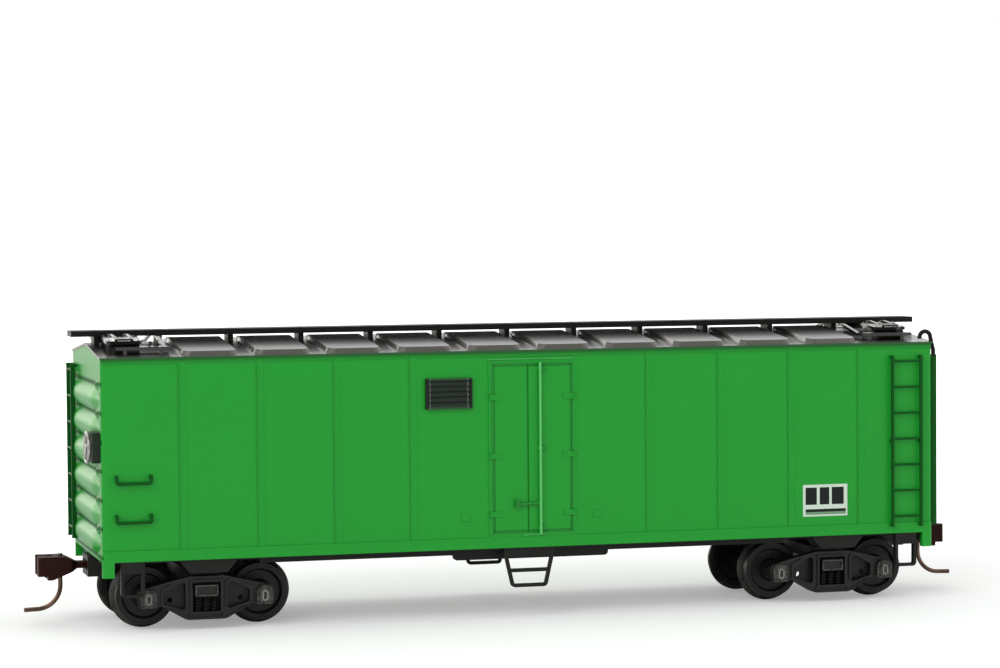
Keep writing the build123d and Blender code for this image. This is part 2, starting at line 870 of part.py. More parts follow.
def corner_step():
    """Stirrup under the near right corner: a wide strap below the side, with a deep upper bar."""
    step_x = half_length - corner_step_end_inset
    half = corner_step_width / 2
    low = sill_bottom - corner_step_drop
    inner_half = half - corner_step_bar
    inner_low = low + corner_step_bar
    inner_high = sill_bottom - corner_step_flange
    inner_round = corner_step_radius - corner_step_bar
    outline = [
        (-half, sill_bottom, 0),
        (-half, low, corner_step_radius),
        (half, low, corner_step_radius),
        (half, sill_bottom, 0),
    ]
    opening = [
        (-inner_half, inner_high, inner_round),
        (-inner_half, inner_low, inner_round),
        (inner_half, inner_low, inner_round),
        (inner_half, inner_high, inner_round),
    ]
    outer_face = half_width - corner_step_face_inset
    inner_face = sheet_face - wall
    depth = outer_face - inner_face
    strap = plate(outline, depth, Plane.XZ) - plate(opening, 2 * depth, Plane.XZ)
    return Pos(step_x, -(outer_face + inner_face) / 2, 0) * strap


def centre_step():
    """Hanging step under the near door: two legs that close toward the foot, with two treads."""
    top_half = centre_step_top_width / 2
    low_half = centre_step_bottom_width / 2
    top = sill_bottom - centre_step_plate + step_bar
    low = sill_bottom - centre_step_drop
    outline = [
        (-top_half, sill_bottom, 0),
        (-top_half, top, 0),
        (-low_half, low, centre_step_radius),
        (low_half, low, centre_step_radius),
        (top_half, top, 0),
        (top_half, sill_bottom, 0),
    ]
    step = plate(outline, step_bar, Plane.XZ)
    middle = (top + low) / 2
    narrowing = (top_half - low_half) / (top - low)

    def half_at(z):
        return low_half + narrowing * (z - low) - step_bar

    foot_round = centre_step_radius - step_bar
    for window_low, window_high, low_round in (
        (low + step_bar, middle - step_bar / 2, foot_round),
        (middle + step_bar / 2, top - step_bar, 0),
    ):
        window = [
            (-half_at(window_low), window_low, low_round),
            (half_at(window_low), window_low, low_round),
            (half_at(window_high), window_high, 0),
            (-half_at(window_high), window_high, 0),
        ]
        step -= plate(window, 2 * step_bar, Plane.XZ)
    return Pos(centre_step_x, step_bar / 2 + step_face_inset - half_width, 0) * step


def brake_wheel():
    """Spoked hand brake wheel and its shaft, on the end at -X."""
    wheel_x = -(half_length + brake_housing_depth + brake_wheel_gap + brake_wheel_rim / 2)
    radius = brake_wheel_diameter / 2
    rim_middle = radius - brake_wheel_rim / 2
    rim_section = Plane.XZ * Pos(0, rim_middle) * Circle(brake_wheel_rim / 2)
    wheel = revolve(rim_section, Axis.X)
    hub_half = brake_wheel_rim / 2
    for number in range(brake_wheel_spokes):
        spoke = Pos(0, 0, rim_middle / 2) * Box(brake_spoke_width, brake_spoke_width, rim_middle)
        wheel += Rot(number * 360 / brake_wheel_spokes, 0, 0) * spoke
    wheel += rod_between((-hub_half, 0, 0), (hub_half, 0, 0), brake_hub_diameter)
    wheel += rod_between((0, 0, 0), (brake_wheel_gap + hub_half, 0, 0), brake_shaft_diameter)
    return Pos(wheel_x, -brake_wheel_y, brake_wheel_z) * wheel


def brake_housing():
    """Housing behind the hand brake wheel, seated over the end's ribs."""
    outline = RectangleRounded(brake_housing_width, brake_housing_height, brake_housing_radius)
    face = Plane(origin=(-half_length, -brake_wheel_y, brake_wheel_z), x_dir=(0, 1, 0), z_dir=(-1, 0, 0))
    return extrude(face * outline, brake_housing_depth)


def door_stiffener():
    """Side rail's deeper part under the near door, with round lower corners."""
    low = floor_bottom - door_stiffener_depth
    outline = [
        (door_stiffener_left, floor_bottom, 0),
        (door_stiffener_left, low, stiffener_radius),
        (door_stiffener_right, low, stiffener_radius),
        (door_stiffener_right, floor_bottom, 0),
    ]
    rail_y = side_rail_width / 2 + side_rail_inset - half_width
    return Pos(0, rail_y, 0) * plate(outline, side_rail_width, Plane.XZ)


def underframe():
    """Floor with centre sill, cross bearers, bolsters, centre plates and end sills."""
    floor_half = sheet_inner - floor_clearance
    floor_side = sheet_face - wall - floor_clearance
    frame = box_between((-floor_half, floor_half), (-floor_side, floor_side), (floor_bottom, floor_top))
    sill_half = truck_x - centre_sill_setback
    sill_z = (floor_bottom - centre_sill_depth, floor_bottom)
    frame += box_between((-sill_half, sill_half), centred(0, centre_sill_width), sill_z)
    rail_outer = half_width - side_rail_inset
    rail_reach = truck_x - side_rail_end_gap
    rail_z = (floor_bottom - side_rail_depth, floor_bottom)
    for hand in (-1, 1):
        rail_y = (hand * rail_outer, hand * (rail_outer - side_rail_width))
        frame += box_between((-rail_reach, rail_reach), rail_y, rail_z)
    stiffener = door_stiffener()
    frame += [stiffener, turned(stiffener)]
    bearer = [
        (-rail_outer, floor_bottom),
        (-rail_outer, floor_bottom - bearer_outer_depth),
        (-centre_sill_width / 2, floor_bottom - bearer_inner_depth),
        (centre_sill_width / 2, floor_bottom - bearer_inner_depth),
        (rail_outer, floor_bottom - bearer_outer_depth),
        (rail_outer, floor_bottom),
    ]
    bearer_plate = outlined(bearer, bearer_thickness, Plane.YZ)
    for number in range(bearer_pairs):
        bearer_x = first_bearer + number * bearer_pitch
        frame += [Pos(bearer_x, 0, 0) * bearer_plate, Pos(-bearer_x, 0, 0) * bearer_plate]
    top_half = bolster_end_top_width / 2
    bottom_half = bolster_end_bottom_width / 2
    end_low = sill_bottom - bolster_end_drop
    end_face = [
        (-top_half, sill_bottom, 0),
        (-top_half, floor_bottom, 0),
        (-bottom_half, end_low, bolster_end_radius),
        (bottom_half, end_low, bolster_end_radius),
        (top_half, floor_bottom, 0),
        (top_half, sill_bottom, 0),
    ]
    end_plate = plate(end_face, bolster_end_length, Plane.XZ)
    end_y = half_width - bolster_end_inset - bolster_end_length / 2
    centre_plate_low = truck_bolster_top + pivot_gap
    arm_z = (floor_bottom - bolster_arm_depth, floor_bottom)
    for hand in (-1, 1):
        place = hand * truck_x
        arm_side = half_width - bolster_end_inset - bolster_end_length
        frame += box_between(centred(place, bolster_arm_width), (-arm_side, arm_side), arm_z)
        for across in (-1, 1):
            frame += Pos(place, across * end_y, 0) * end_plate
        frame += rod_between((place, 0, centre_plate_low), (place, 0, floor_bottom), centre_plate_diameter)
        frame -= rod_between((place, 0, centre_plate_low), (place, 0, floor_top), screw_core_diameter)
        end_sill_x = (hand * floor_half, hand * (floor_half - end_sill_thickness))
        for across in (-1, 1):
            end_sill_y = (across * draft_box_width / 2, across * (half_width - end_sill_side_inset))
            frame += box_between(end_sill_x, end_sill_y, (floor_bottom - end_sill_depth, floor_bottom))
    return frame


def steel_weight():
    """Steel strip that lies on the floor inside the body."""
    return Pos(0, 0, floor_top + weight_thickness / 2) * Box(weight_length, weight_width, weight_thickness)


def brake_cylinder():
    """Brake cylinder with its push rod, on a hanger under the floor."""
    axis_z = floor_bottom - hanger_drop - cylinder_diameter / 2
    left = (cylinder_x, cylinder_y, axis_z)
    right = (cylinder_x + cylinder_length, cylinder_y, axis_z)
    rod_end = (cylinder_x - cylinder_rod_length, cylinder_y, axis_z)
    cylinder = rod_between(left, right, cylinder_diameter)
    cylinder += rod_between(rod_end, left, cylinder_rod_diameter)
    hanger_x = centred(cylinder_x + cylinder_length / 2, hanger_width)
    cylinder += box_between(hanger_x, centred(cylinder_y, hanger_width), (axis_z, floor_bottom))
    return cylinder


def air_reservoir():
    """Air reservoir with domed ends, lying along the car on two hangers."""
    axis_z = floor_bottom - hanger_drop - reservoir_diameter / 2
    left, right = centred(reservoir_x, reservoir_length)
    tank = rod_between((left, reservoir_y, axis_z), (right, reservoir_y, axis_z), reservoir_diameter)
    tank = fillet(tank.edges().filter_by(GeomType.CIRCLE), reservoir_dome_radius)
    hanger_y = centred(reservoir_y, hanger_width)
    for hanger_x in centred(reservoir_x, reservoir_hanger_spacing):
        tank += box_between(centred(hanger_x, hanger_width), hanger_y, (axis_z, floor_bottom))
    return tank


def control_valve():
    """Control valve block under the floor, with a round cap at each end."""
    valve_z = (floor_bottom - valve_drop, floor_bottom)
    valve = box_between(centred(valve_x, valve_size), centred(valve_y, valve_size), valve_z)
    cap_z = floor_bottom - valve_drop / 2
    cap_ends = [(x, valve_y, cap_z) for x in centred(valve_x, 2 * valve_cap_reach)]
    valve += rod_between(cap_ends[0], cap_ends[1], valve_cap_diameter)
    return valve


def draft_box():
    """Coupler pocket at +X: a box open at its front, with the pivot post inside."""
    cavity_half = shank_height / 2 + coupler_slack
    rear = draft_box_front - draft_box_length
    half = draft_box_width / 2
    box_z = (coupler_height - cavity_half - draft_box_floor, floor_bottom)
    box = box_between((rear, draft_box_front), (-half, half), box_z)
    cavity_y = (draft_box_wall - half, half - draft_box_wall)
    cavity_z = centred(coupler_height, 2 * cavity_half)
    box -= box_between((rear + draft_box_wall, draft_box_front), cavity_y, cavity_z)
    post_diameter = coupler_pivot_diameter - 2 * coupler_pivot_clearance
    box += rod_between((coupler_pivot_x, 0, cavity_z[0]), (coupler_pivot_x, 0, cavity_z[1]), post_diameter)
    return box


def coupler():
    """Knuckle coupler at +X: the head is a plan outline with guard arm, throat and knuckle,
    crossed with a side outline that has a lip below and tapers to the shank."""
    half = head_width / 2
    throat_x = coupler_face_x - throat_depth
    knuckle_x = coupler_face_x - knuckle_setback
    plan = [
        (head_back, -shank_width / 2, 0),
        (head_back + head_flare_length, -half, head_corner_radius),
        (coupler_face_x, -half, nose_chamfer),
        (coupler_face_x, guard_arm_thickness - half, 0),
        (throat_x, -throat_width / 2, throat_radius),
        (throat_x, throat_width / 2, 0),
        (knuckle_x, throat_width / 2, 0),
        (knuckle_x, 0, 0),
        (coupler_face_x - nose_chamfer, 0, 0),
        (coupler_face_x, nose_chamfer, 0),
        (coupler_face_x, half, nose_chamfer),
        (head_back + head_flare_length, half, head_corner_radius),
        (head_back, shank_width / 2, 0),
    ]
    step_x = coupler_face_x - head_front_length
    head_half = head_height / 2
    profile = [
        (head_back, -shank_height / 2, 0),
        (step_x - head_lip_length, -head_half - head_lip_drop, 0),
        (step_x, -head_half - head_lip_drop, 0),
        (step_x, -head_half, 0),
        (coupler_face_x, -head_half, 0),
        (coupler_face_x, head_half, 0),
        (trip_pin_x - head_corner_radius, head_half, head_corner_radius),
        (head_back, shank_height / 2, 0),
    ]
    deep = 2 * (head_height + head_lip_drop)
    upright = Pos(0, 0, coupler_height) * plate(plan, deep, Plane.XY)
    sideways = Pos(0, 0, coupler_height) * plate(profile, 2 * head_width, Plane.XZ)
    head = upright & sideways
    shank_z = centred(coupler_height, shank_height)
    eye = ((coupler_pivot_x, 0, shank_z[0]), (coupler_pivot_x, 0, shank_z[1]))
    head += box_between((coupler_pivot_x, head_back + shank_height), centred(0, shank_width), shank_z)
    head += rod_between(eye[0], eye[1], shank_eye_diameter)
    head -= rod_between(eye[0], eye[1], coupler_pivot_diameter)
    hole_diameter = trip_pin_diameter + 2 * trip_pin_seat_clearance
    hole_z = centred(coupler_height, deep)
    head -= rod_between((trip_pin_x, 0, hole_z[0]), (trip_pin_x, 0, hole_z[1]), hole_diameter)
    return head


def trip_pin():
    """Trip pin at +X: a wire down through the head that bends outward to a level tail."""
    top_z = coupler_height + trip_pin_rise
    bend_z = coupler_height - trip_pin_bend_drop
    bend_centre_x = trip_pin_x + trip_pin_bend_radius

    def on_bend(angle):
        across = bend_centre_x - trip_pin_bend_radius * cos(radians(angle))
        return (across, 0, bend_z - trip_pin_bend_radius * sin(radians(angle)))

    stem = Line((trip_pin_x, 0, top_z), (trip_pin_x, 0, bend_z))
    hook = ThreePointArc(on_bend(0), on_bend(trip_pin_bend_angle / 2), on_bend(trip_pin_bend_angle))
    tail = Line(hook @ 1, hook @ 1 + (hook % 1) * trip_pin_tail_length)
    start = Plane(origin=(trip_pin_x, 0, top_z), z_dir=(0, 0, -1))
    return sweep(start * Circle(trip_pin_diameter / 2), path=Wire([stem, hook, tail]))


def wheel():
    """One wheel on the +Y side, its axis along Y: flange inside, coned tread, dished web."""
    inner = back_to_back / 2
    tread = tread_diameter / 2
    flange = tread + flange_depth
    hub = hub_diameter / 2
    bore = axle_diameter / 2 + wheel_seat_clearance
    rim_inner = tread - rim_thickness
    profile = [
        (bore, inner),
        (hub, inner),
        (hub + web_slope, inner + web_recess),
        (rim_inner - web_slope, inner + web_recess),
        (rim_inner, inner),
        (flange - flange_chamfer, inner),
        (flange, inner + flange_chamfer),
        (flange, inner + flange_chamfer + flange_crest),
        (tread, inner + flange_thickness),
        (tread - tread_cone, wheel_outer),
        (rim_inner, wheel_outer),
        (rim_inner - web_slope, wheel_outer - web_recess),
        (hub + web_slope, wheel_outer - web_recess),
        (hub, wheel_outer),
        (bore, wheel_outer),
    ]
    section = Plane.XY * make_face(Polyline(*profile, close=True))
    return revolve(section, Axis.Y)


def axle():
    """Axle along Y with shoulders, journals and pointed ends."""
    body = axle_diameter / 2
    journal = journal_diameter / 2
    profile = [
        (0, -axle_end),
        (journal, axle_point_length - axle_end),
        (journal, -journal_shoulder),
        (body, -axle_shoulder),
        (body, axle_shoulder),
        (journal, journal_shoulder),
        (journal, axle_end - axle_point_length),
        (0, axle_end),
    ]
    return revolve(Plane.XY * make_face(Polyline(*profile, close=True)), Axis.Y)


def coil_spring(height):
    """Truck spring with its coils as rings around a core."""
    outer = spring_diameter / 2
    core = spring_core_diameter / 2
    coil_pitch = height / spring_coils
    profile = [(0, 0), (core, 0)]
    for number in range(spring_coils):
        profile += [(outer, (number + 1 / 2) * coil_pitch), (core, (number + 1) * coil_pitch)]
    profile.append((0, height))
    return revolve(Plane.XZ * make_face(Polyline(*profile, close=True)), Axis.Z)


def frame_outline(inset):
    """Side frame's outline about the truck's centre, drawn in by an inset."""
    half_height = frame_end_half_height - inset
    end_x = axle_x + frame_end_reach - inset
    corner = frame_corner_radius - inset
    return both_ways([
        (chord_half_length, axle_z + chord_rise - inset, frame_bend_radius),
        (axle_x - frame_shoulder_setback, axle_z + frame_shoulder_rise - inset, frame_bend_radius),
        (end_x, axle_z + half_height, corner),
        (end_x, axle_z - half_height, corner),
        (axle_x - frame_shoulder_setback + inset, axle_z - half_height, corner),
        (foot_half_length, axle_z - foot_drop + inset, frame_bend_radius),
    ])


def frame_windows(growth):
    """Right opening and spring opening of a side frame, drawn larger by a growth."""
    high = axle_z + chord_rise - chord_thickness + growth
    low = axle_z - foot_drop + foot_thickness - growth
    inner = window_inner_x - growth
    outer = axle_x - window_setback + growth
    corner = window_radius + growth
    side = [
        (inner, high, corner),
        (inner + 2 * corner, high, corner),
        (outer, axle_z + frame_end_half_height - window_crown + growth, corner),
        (outer, axle_z - frame_end_half_height + window_crown - growth, corner),
        (inner, low + corner, corner),
    ]
    spring_low = axle_z - spring_seat_drop - growth
    half = spring_window_half + growth
    spring = [(-half, spring_low, 0), (half, spring_low, 0), (half, high, 0), (-half, high, 0)]
    return side, spring


def journal_box():
    """Journal box at -Y about its axle end: arched box with a sloped lid and its hinge."""
    half = journal_box_width / 2
    half_height = journal_box_height / 2
    box_front = -(frame_outer + journal_box_proud)
    arch = [
        (-half, axle_z - half_height, journal_box_corner),
        (half, axle_z - half_height, journal_box_corner),
        (half, axle_z + half_height, journal_box_arch),
        (-half, axle_z + half_height, journal_box_arch),
    ]
    depth = frame_thickness + journal_box_proud
    box = Pos(0, box_front + depth / 2, 0) * plate(arch, depth, Plane.XZ)
    lid_half = lid_width / 2
    lid = [
        (-lid_half, axle_z - lid_height / 2, journal_box_corner),
        (lid_half, axle_z - lid_height / 2, journal_box_corner),
        (lid_half, axle_z + lid_height / 2, lid_half - journal_box_corner),
        (-lid_half, axle_z + lid_height / 2, lid_half - journal_box_corner),
    ]
    lid_plane = Plane(origin=(0, box_front, 0), x_dir=(1, 0, 0), z_dir=(0, -1, 0))
    box += extrude(lid_plane * rounded_face(lid), lid_proud, taper=lid_draft)
    hinge_z = axle_z + lid_height / 2
    hinge_ends = [(x, box_front, hinge_z) for x in centred(0, lid_hinge_length)]
    box += rod_between(hinge_ends[0], hinge_ends[1], lid_hinge_diameter)
    return box


def side_frame():
    """Truck side frame at -Y, about the truck's centre: arched top chord and dropped foot with
    raised rims around its edge and openings, thin webs that close the openings at the back,
    springs, and the two journal boxes."""
    middle_y = frame_thickness / 2 - frame_outer
    frame = Pos(0, middle_y, 0) * plate(frame_outline(0), frame_thickness, Plane.XZ)
    recess = plate(frame_outline(rim_width), 2 * rim_height, Plane.XZ)
    side, spring = frame_windows(0)
    side_rim, spring_rim = frame_windows(rim_width)
    side_keep = plate(side_rim, frame_thickness, Plane.XZ)
    recess -= [side_keep, mirrored_along(side_keep), plate(spring_rim, frame_thickness, Plane.XZ)]
    frame -= Pos(0, -frame_outer, 0) * recess
    side_cut = Pos(0, middle_y - window_web, 0) * plate(side, frame_thickness, Plane.XZ)
    spring_cut = Pos(0, middle_y - spring_web, 0) * plate(spring, frame_thickness, Plane.XZ)
    frame -= [side_cut, mirrored_along(side_cut), spring_cut]
    hole_z = axle_z - frame_hole_drop
    for hole_x in (-frame_hole_x, frame_hole_x):
        ends = ((hole_x, -frame_outer, hole_z), (hole_x, -frame_inner, hole_z))
        frame -= rod_between(ends[0], ends[1], frame_hole_diameter)
    spring_low = axle_z - spring_seat_drop
    spring_height = spring_seat_drop + spring_top_rise
    for number in range(spring_count):
        spring_x = (number - (spring_count - 1) / 2) * spring_pitch
        frame += Pos(spring_x, middle_y, spring_low) * coil_spring(spring_height)
    box = journal_box()
    boss_end = middle_y
    boss_start = -(journal_shoulder + journal_boss_gap)
    for hand in (-1, 1):
        place = hand * axle_x
        frame += Pos(place, 0, 0) * box
        frame += rod_between((place, boss_start, axle_z), (place, boss_end, axle_z), journal_boss_diameter)
    return frame


def bolster_end():
    """Truck bolster's deeper end in the near side frame, with a raised rim around its face."""
    low = axle_z + spring_top_rise
    high = low + bolster_end_height
    front = -(frame_outer + bolster_end_overhang)
    inner = bolster_end_lap - frame_inner
    end = box_between(centred(0, 2 * bolster_end_half), (inner, front), (low, high))
    recess_x = centred(0, 2 * (bolster_end_half - bolster_end_rim))
    recess_z = (low + bolster_end_rim, high - bolster_end_rim)
    return end - box_between(recess_x, (front, front + bolster_end_recess), recess_z)


def truck_frame():
    """Truck about its centre: bolster, both side frames and the journal pockets."""
    near = side_frame() + bolster_end()
    frame = near + mirrored_across(near)
    bolster_z = (truck_bolster_top - truck_bolster_thickness, truck_bolster_top)
    frame += box_between(centred(0, truck_bolster_width), (-frame_inner, frame_inner), bolster_z)
    frame -= rod_between((0, 0, bolster_z[0]), (0, 0, bolster_z[1]), pivot_hole_diameter)
    pocket_radius = journal_diameter / 2 + journal_clearance
    pocket_end = axle_end + journal_end_play
    cone_start = pocket_end - axle_point_length
    profile = [
        (0, -pocket_end),
        (pocket_radius, -cone_start),
        (pocket_radius, cone_start),
        (0, pocket_end),
    ]
    pocket = revolve(Plane.XY * make_face(Polyline(*profile, close=True)), Axis.Y)
    for hand in (-1, 1):
        frame -= Pos(hand * axle_x, 0, axle_z) * pocket
    return frame


def pivot_screw():
    """Slotted screw that holds a truck under its centre plate."""
    head_top = truck_bolster_top - truck_bolster_thickness - pivot_gap
    head_low = head_top - screw_head_height
    plate_low = truck_bolster_top + pivot_gap
    thread_diameter = screw_core_diameter - 2 * wheel_seat_clearance
    screw = rod_between((0, 0, head_low), (0, 0, head_top), screw_head_diameter)
    screw += rod_between((0, 0, head_top), (0, 0, plate_low), screw_shank_diameter)
    screw += rod_between((0, 0, plate_low), (0, 0, plate_low + screw_bite), thread_diameter)
    slot_x = centred(0, 2 * screw_head_diameter)
    screw -= box_between(slot_x, centred(0, screw_slot_width), (head_low, head_low + screw_slot_depth))
    return screw


def export_piece(name, shape):
    """Lift a piece so that the flanges stand on the floor, and write it."""
    lifted = Pos(0, 0, flange_depth) * shape
    lifted.label = name
    export_step(lifted, os.path.join("parts", name + ".step"))


def together(*shapes):
    """Like pieces of one body that don't touch, kept in one file."""
    return Compound(children=list(shapes))


def kept(shape):
    """The piece where it is, for the end or side that it was drawn for."""
    return shape


os.makedirs("parts", exist_ok=True)

near_side = side_panel()
export_piece("side_near", near_side)
export_piece("side_far", turned(near_side))
plain_end = end_panel()
export_piece("end_plain", plain_end)
export_piece("end_brake", turned(plain_end) - brake_housing())
export_piece("roof", roof_shell())

export_piece("running_board", running_board())
export_piece("board_saddles", board_saddles())
hatch = ice_hatch()
platform = hatch_platform()
for end_name, along in (("plus", kept), ("minus", mirrored_along)):
    end_hatch = along(hatch)
    end_platform = along(platform)
    export_piece("ice_hatch_near_" + end_name, end_hatch)
    export_piece("ice_hatch_far_" + end_name, mirrored_across(end_hatch))
    export_piece("hatch_platforms_" + end_name, together(end_platform, mirrored_across(end_platform)))
grab = roof_grab()
export_piece("roof_grabs", together(grab, turned(grab)))

doors = door_pair()
lock = door_lock()
vent = louvre()
ladder_x = half_length - side_ladder_end_inset
end_ladder_y = half_width - end_ladder_side_inset
side_ladder = Pos(ladder_x, -sheet_face, 0) * ladder(side_ladder_standoff, stile_depth) - near_side
end_place = Pos(half_length, -end_ladder_y, 0) * Rot(0, 0, 90)
end_ladder = end_place * ladder(end_ladder_standoff, end_stile_depth) - plain_end
grab_x = grab_end_inset - half_length
grab_heights = [sill_bottom + lowest_grab + row * grab_pitch for row in range(grab_rows)]
side_irons = together(*[Pos(grab_x, -sheet_face, height) * grab_iron() for height in grab_heights])
for side_name, place in (("near", kept), ("far", turned)):
    export_piece("doors_" + side_name, place(doors))
    export_piece("door_lock_" + side_name, place(lock))
    export_piece("louvre_" + side_name, place(vent))
    export_piece("side_ladder_" + side_name, place(side_ladder))
    export_piece("grab_irons_" + side_name, place(side_irons))
export_piece("end_ladder_plain", end_ladder)
export_piece("end_ladder_brake", turned(end_ladder))
export_piece("brake_wheel", brake_wheel())
export_piece("brake_housing", brake_housing())

step = corner_step()
steps_plus = together(step, mirrored_across(step))
export_piece("corner_steps_plus", steps_plus)
export_piece("corner_steps_minus", mirrored_along(steps_plus))
middle_step = centre_step()
export_piece("centre_steps", together(middle_step, turned(middle_step)))

export_piece("underframe", underframe())
export_piece("steel_weight", steel_weight())
export_piece("brake_cylinder", brake_cylinder())
export_piece("air_reservoir", air_reservoir())
export_piece("control_valve", control_valve())

pocket = draft_box()
head = coupler()
pin = trip_pin()
for end_name, along in (("plus", kept), ("minus", turned)):
    export_piece("coupler_box_" + end_name, along(pocket))
    export_piece("coupler_" + end_name, along(head))
    export_piece("trip_pin_" + end_name, along(pin))

truck = truck_frame()
screw = pivot_screw()
axle_piece = axle()
near_wheel = mirrored_across(wheel())
wheel_pair = together(near_wheel, mirrored_across(near_wheel))
for end_name, hand in (("plus", 1), ("minus", -1)):
    export_piece("truck_frame_" + end_name, Pos(hand * truck_x, 0, 0) * truck)
    export_piece("truck_screw_" + end_name, Pos(hand * truck_x, 0, 0) * screw)
    for place_name, offset in (("outer", hand), ("inner", -hand)):
        axle_place = Pos(hand * truck_x + offset * axle_x, 0, axle_z)
        export_piece("axle_" + end_name + "_" + place_name, axle_place * axle_piece)
        export_piece("wheels_" + end_name + "_" + place_name, axle_place * wheel_pair)
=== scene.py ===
import math

import bmesh
import bpy
import numpy as np
from mathutils import Matrix, Vector


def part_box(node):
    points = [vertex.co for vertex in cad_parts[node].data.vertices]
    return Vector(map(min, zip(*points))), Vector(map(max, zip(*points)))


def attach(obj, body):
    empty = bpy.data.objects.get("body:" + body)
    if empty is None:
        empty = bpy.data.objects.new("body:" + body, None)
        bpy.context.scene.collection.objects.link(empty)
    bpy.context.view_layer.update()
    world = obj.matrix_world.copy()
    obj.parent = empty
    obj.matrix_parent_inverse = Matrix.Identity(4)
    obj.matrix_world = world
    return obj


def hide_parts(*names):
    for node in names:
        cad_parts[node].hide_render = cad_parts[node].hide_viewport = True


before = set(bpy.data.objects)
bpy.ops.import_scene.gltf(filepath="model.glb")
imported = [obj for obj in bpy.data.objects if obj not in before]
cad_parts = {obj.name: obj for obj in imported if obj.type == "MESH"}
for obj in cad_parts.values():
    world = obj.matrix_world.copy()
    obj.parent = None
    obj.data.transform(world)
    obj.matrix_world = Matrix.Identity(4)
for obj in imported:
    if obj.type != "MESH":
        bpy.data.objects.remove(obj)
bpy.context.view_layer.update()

bl_info = {
    "name": "Model Refrigerator Car",
    "version": (1, 1, 0),
    "blender": (4, 5, 0),
    "location": "View3D > Sidebar > Reefer",
    "description": "Finishes and small fittings of a 1:87 refrigerator car, with its stage",
    "category": "Object",
}

MM = 0.001
WELD = 0.0002 * MM


def corners_of(name):
    """Lowest and highest corner of a CAD node as arrays."""
    low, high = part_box(name)
    return np.array(low), np.array(high)


# Places on the car, read from the frame, and the body's own steps
END_WALL = 1.0 * MM
SILL_PROUD = 0.25 * MM
SILL_OVER_FLOOR = 0.4 * MM
SIDE_LOW, SIDE_HIGH = corners_of("side_near")
BOARD_TOP = corners_of("running_board")[1][2]
SILL_BOTTOM = SIDE_LOW[2]
SIDE_TOP = SIDE_HIGH[2]
HALF_WIDTH = -SIDE_LOW[1]
HALF_LENGTH = SIDE_HIGH[0] + END_WALL
SHEET = HALF_WIDTH - SILL_PROUD
FLOOR_BOTTOM = SILL_BOTTOM - SILL_OVER_FLOOR
PIN_TIP = corners_of("trip_pin_plus")[1][2] / MM - 0.1

# Seams of a side: battens over the joints of its sheets, in millimetres from the middle
FIRST_SEAM = 20.6
SEAM_PITCH = 12.85
SEAM_COUNT = 4
SEAM_WIDTH = 1.1
SEAM_PROUD = 0.12
SILL_BAND = 1.8
TOP_BAND = 0.75

# Doorway, louvre, end ribs and hinges, in millimetres from the middle or up from the sill
DOOR_HALF_WIDTH = 6.9
DOOR_HALF_HEIGHT = 14.1
DOOR_MIDDLE = 16.7
MEETING_EDGE = -0.8
LOCK_EDGE = 0.72
LOCK_ROD_OFFSET = 1.2
LOUVRE_OFFSET = 14.5
LOUVRE_MIDDLE = 26.15
LOWEST_RIB = 2.8
RIB_PITCH = 4.7
RIB_ROWS = 6
LOWEST_HINGE = 5.7
HINGE_PITCH = 9.8
DOOR_LOW = SILL_BOTTOM + (DOOR_MIDDLE - DOOR_HALF_HEIGHT) * MM
DOOR_HIGH = SILL_BOTTOM + (DOOR_MIDDLE + DOOR_HALF_HEIGHT) * MM
HINGE_ROWS = SILL_BOTTOM + LOWEST_HINGE * MM + np.arange(3) * HINGE_PITCH * MM

# Noises, in waves to the metre: mottle and peel of the paint, break-up of the trucks' painted highlights
# and of the worn, highlit treads, stain and drawn lines
MOTTLE_SCALE = 90.0
PEEL_SCALE = 3300.0
TRUCK_HIGHLIGHT_SCALE = 1400.0
TREAD_WEAR_AND_HIGHLIGHT_SCALE = 900.0
STAIN_SCALE = 400.0
DRAWN_SCALE = (8000.0, 8000.0, 600.0)

# Widths of the softly drawn lines, in millimetres: painted shade at seams, rib feet, doorway and leaves,
# a painted highlight on the lock rod, and the louvre's pale line
SEAM_LINE = 1.3
RIB_LINE = 1.3
DOORWAY_LINE = 1.1
LEAF_LINE = 0.9
ROD_LINE = 0.75
LOUVRE_LINE = 0.35

# Where painted shades, highlights and tones start and are full, in millimetres: out from the sheet for
# the door's straps, out from the middle for the roof and trucks, from its own middle for the louvre and
# wheels
STRAP_SHADE = (0.25, 0.18)
RIDGE_SHADE = (9.0, 2.5)
EAVE_SHEEN_AND_DUST = (14.5, 16.6)
DRIP_EDGE = (17.2, 17.4)
LOUVRE_RIM = (2.0, 2.45)
LOUVRE_SIDE = (3.4, 3.6)
LOUVRE_EDGE = 3.25
TRUCK_OPENING_SHADE = (14.05, 13.6)
TRUCK_PROUD_HIGHLIGHT = (14.35, 14.6)
TREAD_WEAR_AND_HIGHLIGHT = (4.6, 4.75)

# Roof: its strips between the panels, and how its sheet rises from the side to the ridge
ROOF_PANELS = 12
ROOF_STRIPS = np.arange(1, ROOF_PANELS) * 2 * HALF_LENGTH / ROOF_PANELS - HALF_LENGTH
ROOF_OVERHANG = 0.3 * MM
ROOF_SHEET = 0.35 * MM
RIDGE_RISE = 1.8 * MM
ROOF_SLOPE = math.atan2(RIDGE_RISE, SHEET)
ROOF_UP = (0, -math.sin(ROOF_SLOPE), math.cos(ROOF_SLOPE))
END_SADDLE = HALF_LENGTH - 1.6 * MM

# Blank placard: its left edge along the side, its foot over the sill and its plate's thickness
PLACARD_LEFT = 48.45 * MM
PLACARD_RISE = 3.4 * MM
PLATE = 0.05 * MM

# Its blank fields: left, right, low and high share of the placard, and the finish
PLACARD_FIELDS = (
    (0.056, 0.310, 0.37, 0.91, "placard_black"),
    (0.374, 0.590, 0.37, 0.91, "placard_black"),
    (0.645, 0.916, 0.37, 0.91, "placard_black"),
    (0.056, 0.963, 0.14, 0.23, "placard_black"),
    (0.056, 0.963, 0.055, 0.14, "placard_grey"),
)

# Tack boards: place along the side and height over the sill, in millimetres
TACK_BOARDS = ((-64.1, 7.0), (-11.6, 5.3), (11.3, 5.3))
TACK_BOARD_HALF = (0.75 * MM, 0.6 * MM, 0.09 * MM)

